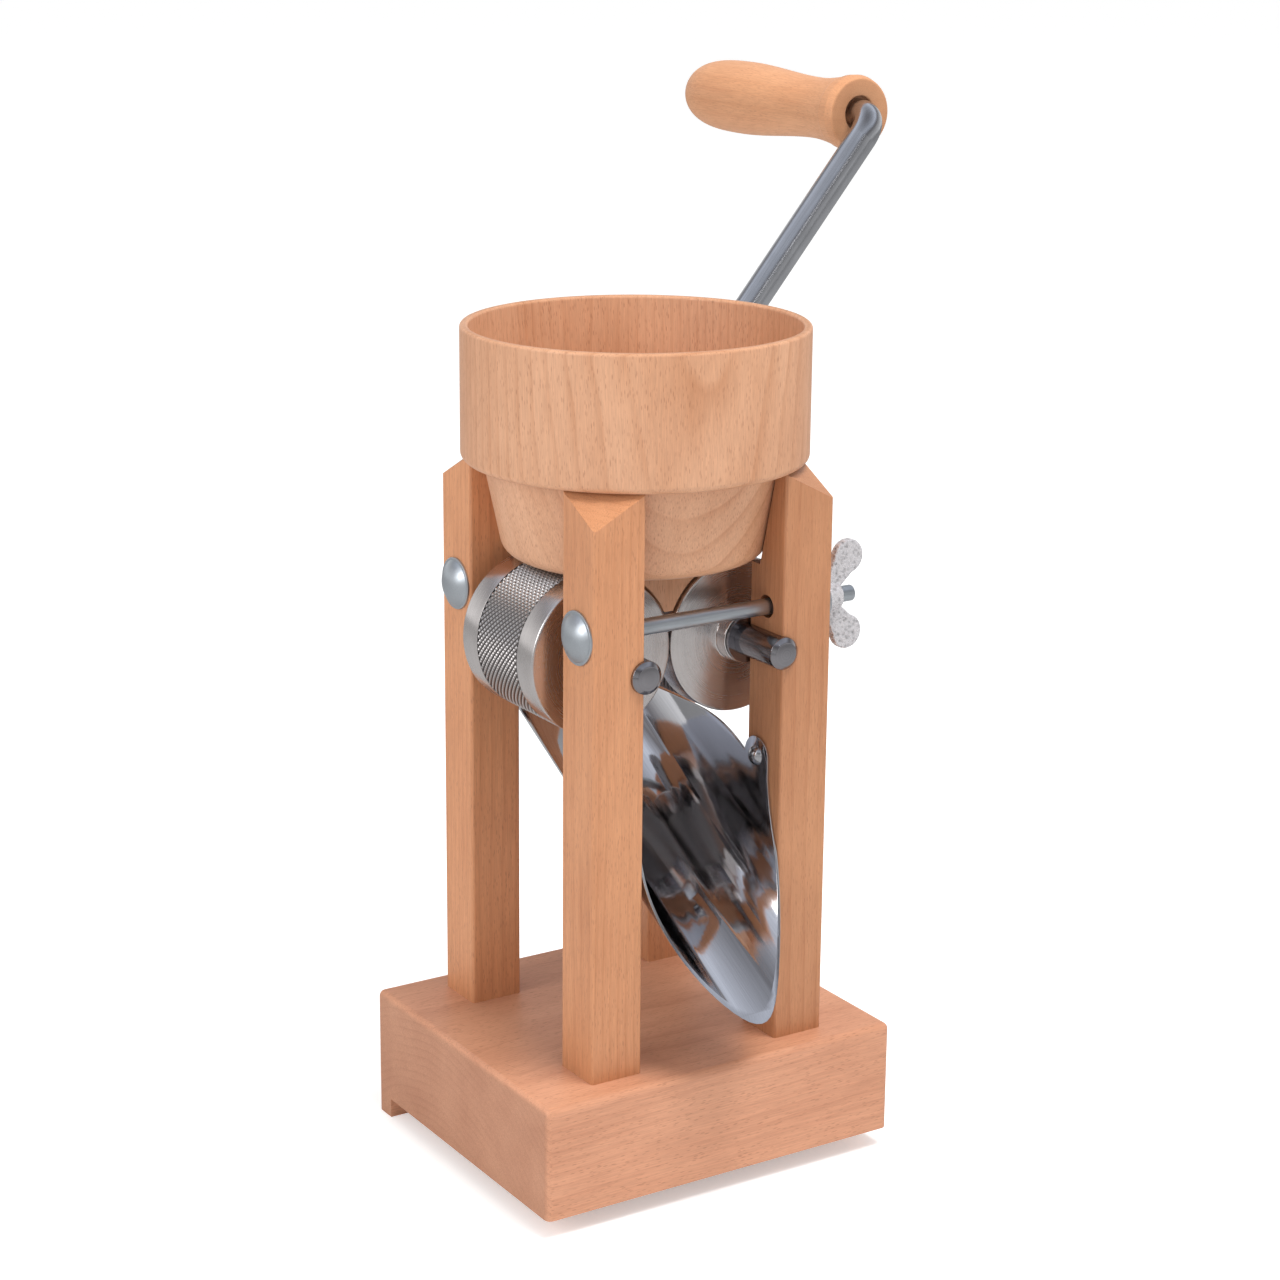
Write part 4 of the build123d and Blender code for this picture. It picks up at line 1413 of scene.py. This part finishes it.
@dataclass
class Grip:
    """The turned handle, free on the crank's spindle."""

    flange: float = 15.6 * MM
    face: float = 14.5 * MM
    neck: float = 12.6 * MM
    bulge: float = 15.5 * MM
    widest: float = 0.68
    fullness: float = 3.0
    mouth: float = 7.2 * MM
    mouth_depth: float = 2.5 * MM
    bore: float = 6.06 * MM
    bead: float = 0.35 * MM
    finishes: dict[str, bpy.types.Material] = field(default_factory=dict)

    def build(self) -> None:
        """Turns the handle from its mouth to its far end."""
        low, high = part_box("grip")
        length = high.y - low.y
        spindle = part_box("crank_rod")[1].y - low.y + 1 * MM
        inside = [(0.0, spindle), (self.bore, spindle), (self.bore, self.mouth_depth), (self.mouth, self.mouth_depth)]
        rim = rounded(
            [
                (self.mouth, self.mouth_depth),
                (self.mouth, 0.0, 0.6 * MM),
                (self.face, 0.0, 1.3 * MM),
                (self.flange, 0.03 * length, 1.6 * MM),
                (self.flange - 0.3 * MM, 0.062 * length, 0.6 * MM),
                (self.flange - 0.3 * MM - self.bead, 0.066 * length, 0.2 * MM),
                (self.flange - 0.6 * MM, 0.070 * length, 0.3 * MM),
                (self.flange - 1.0 * MM, 0.078 * length),
            ],
            4,
        )[1:]
        swell = self.swell(length)
        middle_axis = (middle("grip").x, low.y, middle("grip").z)
        work = Work.turned("grip_turned", inside + rim + swell, middle_axis, Along.Y, 96)
        work.shade(30)
        work.fit(Body.GRIP, Slot.BEECH, self.finishes["grip"], "grip")

    def swell(self, length: float) -> list[tuple[float, float]]:
        """Follows the neck, the swell for the palm and the rounded end.

        Args:
            length: The handle's length.

        Returns:
            (radius, height) points.
        """
        marks = [
            (0.078, self.flange - 1.0 * MM),
            (0.24, self.neck),
            (self.widest, self.bulge),
        ]
        points = []
        for step in range(1, 41):
            share = 0.078 + (self.widest - 0.078) * step / 40
            points.append((self.blend(marks, share), share * length))
        for step in range(1, 25):
            share = math.sin(math.pi / 2 * step / 24)
            full = max(0.0, 1 - share**self.fullness) ** (1 / self.fullness)
            points.append((self.bulge * full, (self.widest + (1 - self.widest) * share) * length))
        points[-1] = (0.0, length)
        return points

    @staticmethod
    def blend(marks: Sequence[tuple[float, float]], share: float) -> float:
        """Returns the smooth value between marks of (place, value)."""
        (x0, y0), (x1, y1) = next(
            pair for pair in zip(marks, marks[1:]) if share <= pair[1][0] + 1e-9
        )
        t = (share - x0) / (x1 - x0)
        # The neck eases in from a steep flange and out again into the swell.
        lean = (y1 - y0) * 1.6 if y1 < y0 else 0.0
        return (
            y0 * (1 + 2 * t) * (1 - t) ** 2
            + lean * t * (1 - t) ** 2
            + y1 * t * t * (3 - 2 * t)
        )


def bar_finishes(groups: dict[Marks, bpy.types.NodeTree], shafts: Shafts) -> None:
    """Dresses the bars, pins and other small parts that keep their solid shapes.

    Args:
        groups: The node group for each kind of marks.
        shafts: The shafts, which take the pins' steel.
    """
    for side in ("left", "right"):
        centre = tuple(middle(f"{side}_shaft"))
        shaft = Steel(
            f"{side}_shaft_bar", Along.Y, Marks.TURNED, centre,
            colour=(0.34, 0.33, 0.35), roughness=0.16, pitch=0.5, relief=0.06,
        ).material(groups)
        for node in (f"{side}_thrust_washers", f"{side}_roller_pin"):
            dress(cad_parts[node], shaft)
        shafts.finishes[side] = shaft
    bar = Steel(
        "crank_bar", Along.Z, lean=math.radians(40), colour=(0.52, 0.53, 0.56),
        roughness=0.2, pitch=0.6, relief=0.08,
    ).material(groups)
    dress(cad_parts["crank_rod"], bar)
    screw = Steel("small_steel", Along.Y, colour=(0.58, 0.60, 0.62), roughness=0.25).material(groups)
    for node in ("crank_lock_nut", "grip_clip", "post_screws"):
        dress(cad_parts[node], screw)


def main() -> None:
    """Builds the studio and the mill."""
    logging.basicConfig(level=logging.INFO, format="%(name)s: %(message)s")
    Studio().build()
    figure = grain_group()
    groups = {Marks.DRAWN: tooling_group(), Marks.TURNED: turning_group()}
    base_wood = Beech(
        "beech_base", Along.X, light=(0.68, 0.335, 0.20), dark=(0.50, 0.215, 0.12),
        heart=(-0.06, 0.02, 0.0), ring_width=3.4, ring_share=0.5,
    )
    dress(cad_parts["base"], base_wood.material(figure))
    for name, heart, depth in (
        ("post_front_left", (0.05, 0.02, 0.1), 1.0),
        ("post_front_right", (-0.02, 0.08, 0.4), 0.86),
        ("post_back_left", (0.02, -0.06, 0.7), 1.06),
        ("post_back_right", (-0.07, 0.05, 1.1), 0.94),
    ):
        wood = Beech(
            f"beech_{name}", Along.Z, light=(0.64 * depth, 0.30 * depth, 0.148 * depth),
            dark=(0.46 * depth, 0.18 * depth, 0.078 * depth),
            heart=heart, ring_width=2.6, ring_share=0.6, sway=5.0, fleck_share=0.55,
        )
        dress(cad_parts[name], wood.material(figure))
    shafts = Shafts()
    bar_finishes(groups, shafts)
    shafts.build()
    rollers = Rollers()
    for side in ("left", "right"):
        rollers.finishes[side] = Steel(
            f"{side}_roller_steel", Along.Y, Marks.TURNED, tuple(middle(f"{side}_roller")),
            colour=(0.72, 0.68, 0.67), roughness=0.26, pitch=0.35, relief=0.16,
        ).material(groups)
    rollers.build()
    SqueezeBolts(
        finishes={
            "zinc": Steel(
                "zinc_plate", Along.X, colour=(0.56, 0.60, 0.64), roughness=0.38, relief=0.1
            ).material(groups),
            "cast": CastMetal("cast_zinc").material(),
        }
    ).build()
    Chute(
        finishes={
            "sheet": PolishedSheet("polished_sheet").material(),
            "screw": Steel("screw_steel", Along.X, colour=(0.5, 0.5, 0.52), roughness=0.2).material(groups),
        }
    ).build()
    Hopper(
        finishes={
            "hopper": Beech(
                "beech_hopper", Along.Z, light=(0.68, 0.375, 0.225), dark=(0.50, 0.225, 0.11),
                heart=(0.019, 0.065, 0.0), lean=0.05, ring_width=3.2, ring_share=0.65, sway=7.0,
            ).material(figure)
        }
    ).build()
    Grip(
        finishes={
            "grip": Beech(
                "beech_grip", Along.Y, light=(0.68, 0.345, 0.18), dark=(0.52, 0.22, 0.10),
                heart=(0.1, 0.4, 0.0), ring_width=5.0, ring_share=0.3, sway=8.0, fleck_share=0.35,
            ).material(figure)
        }
    ).build()


if __name__ == "__main__":
    main()
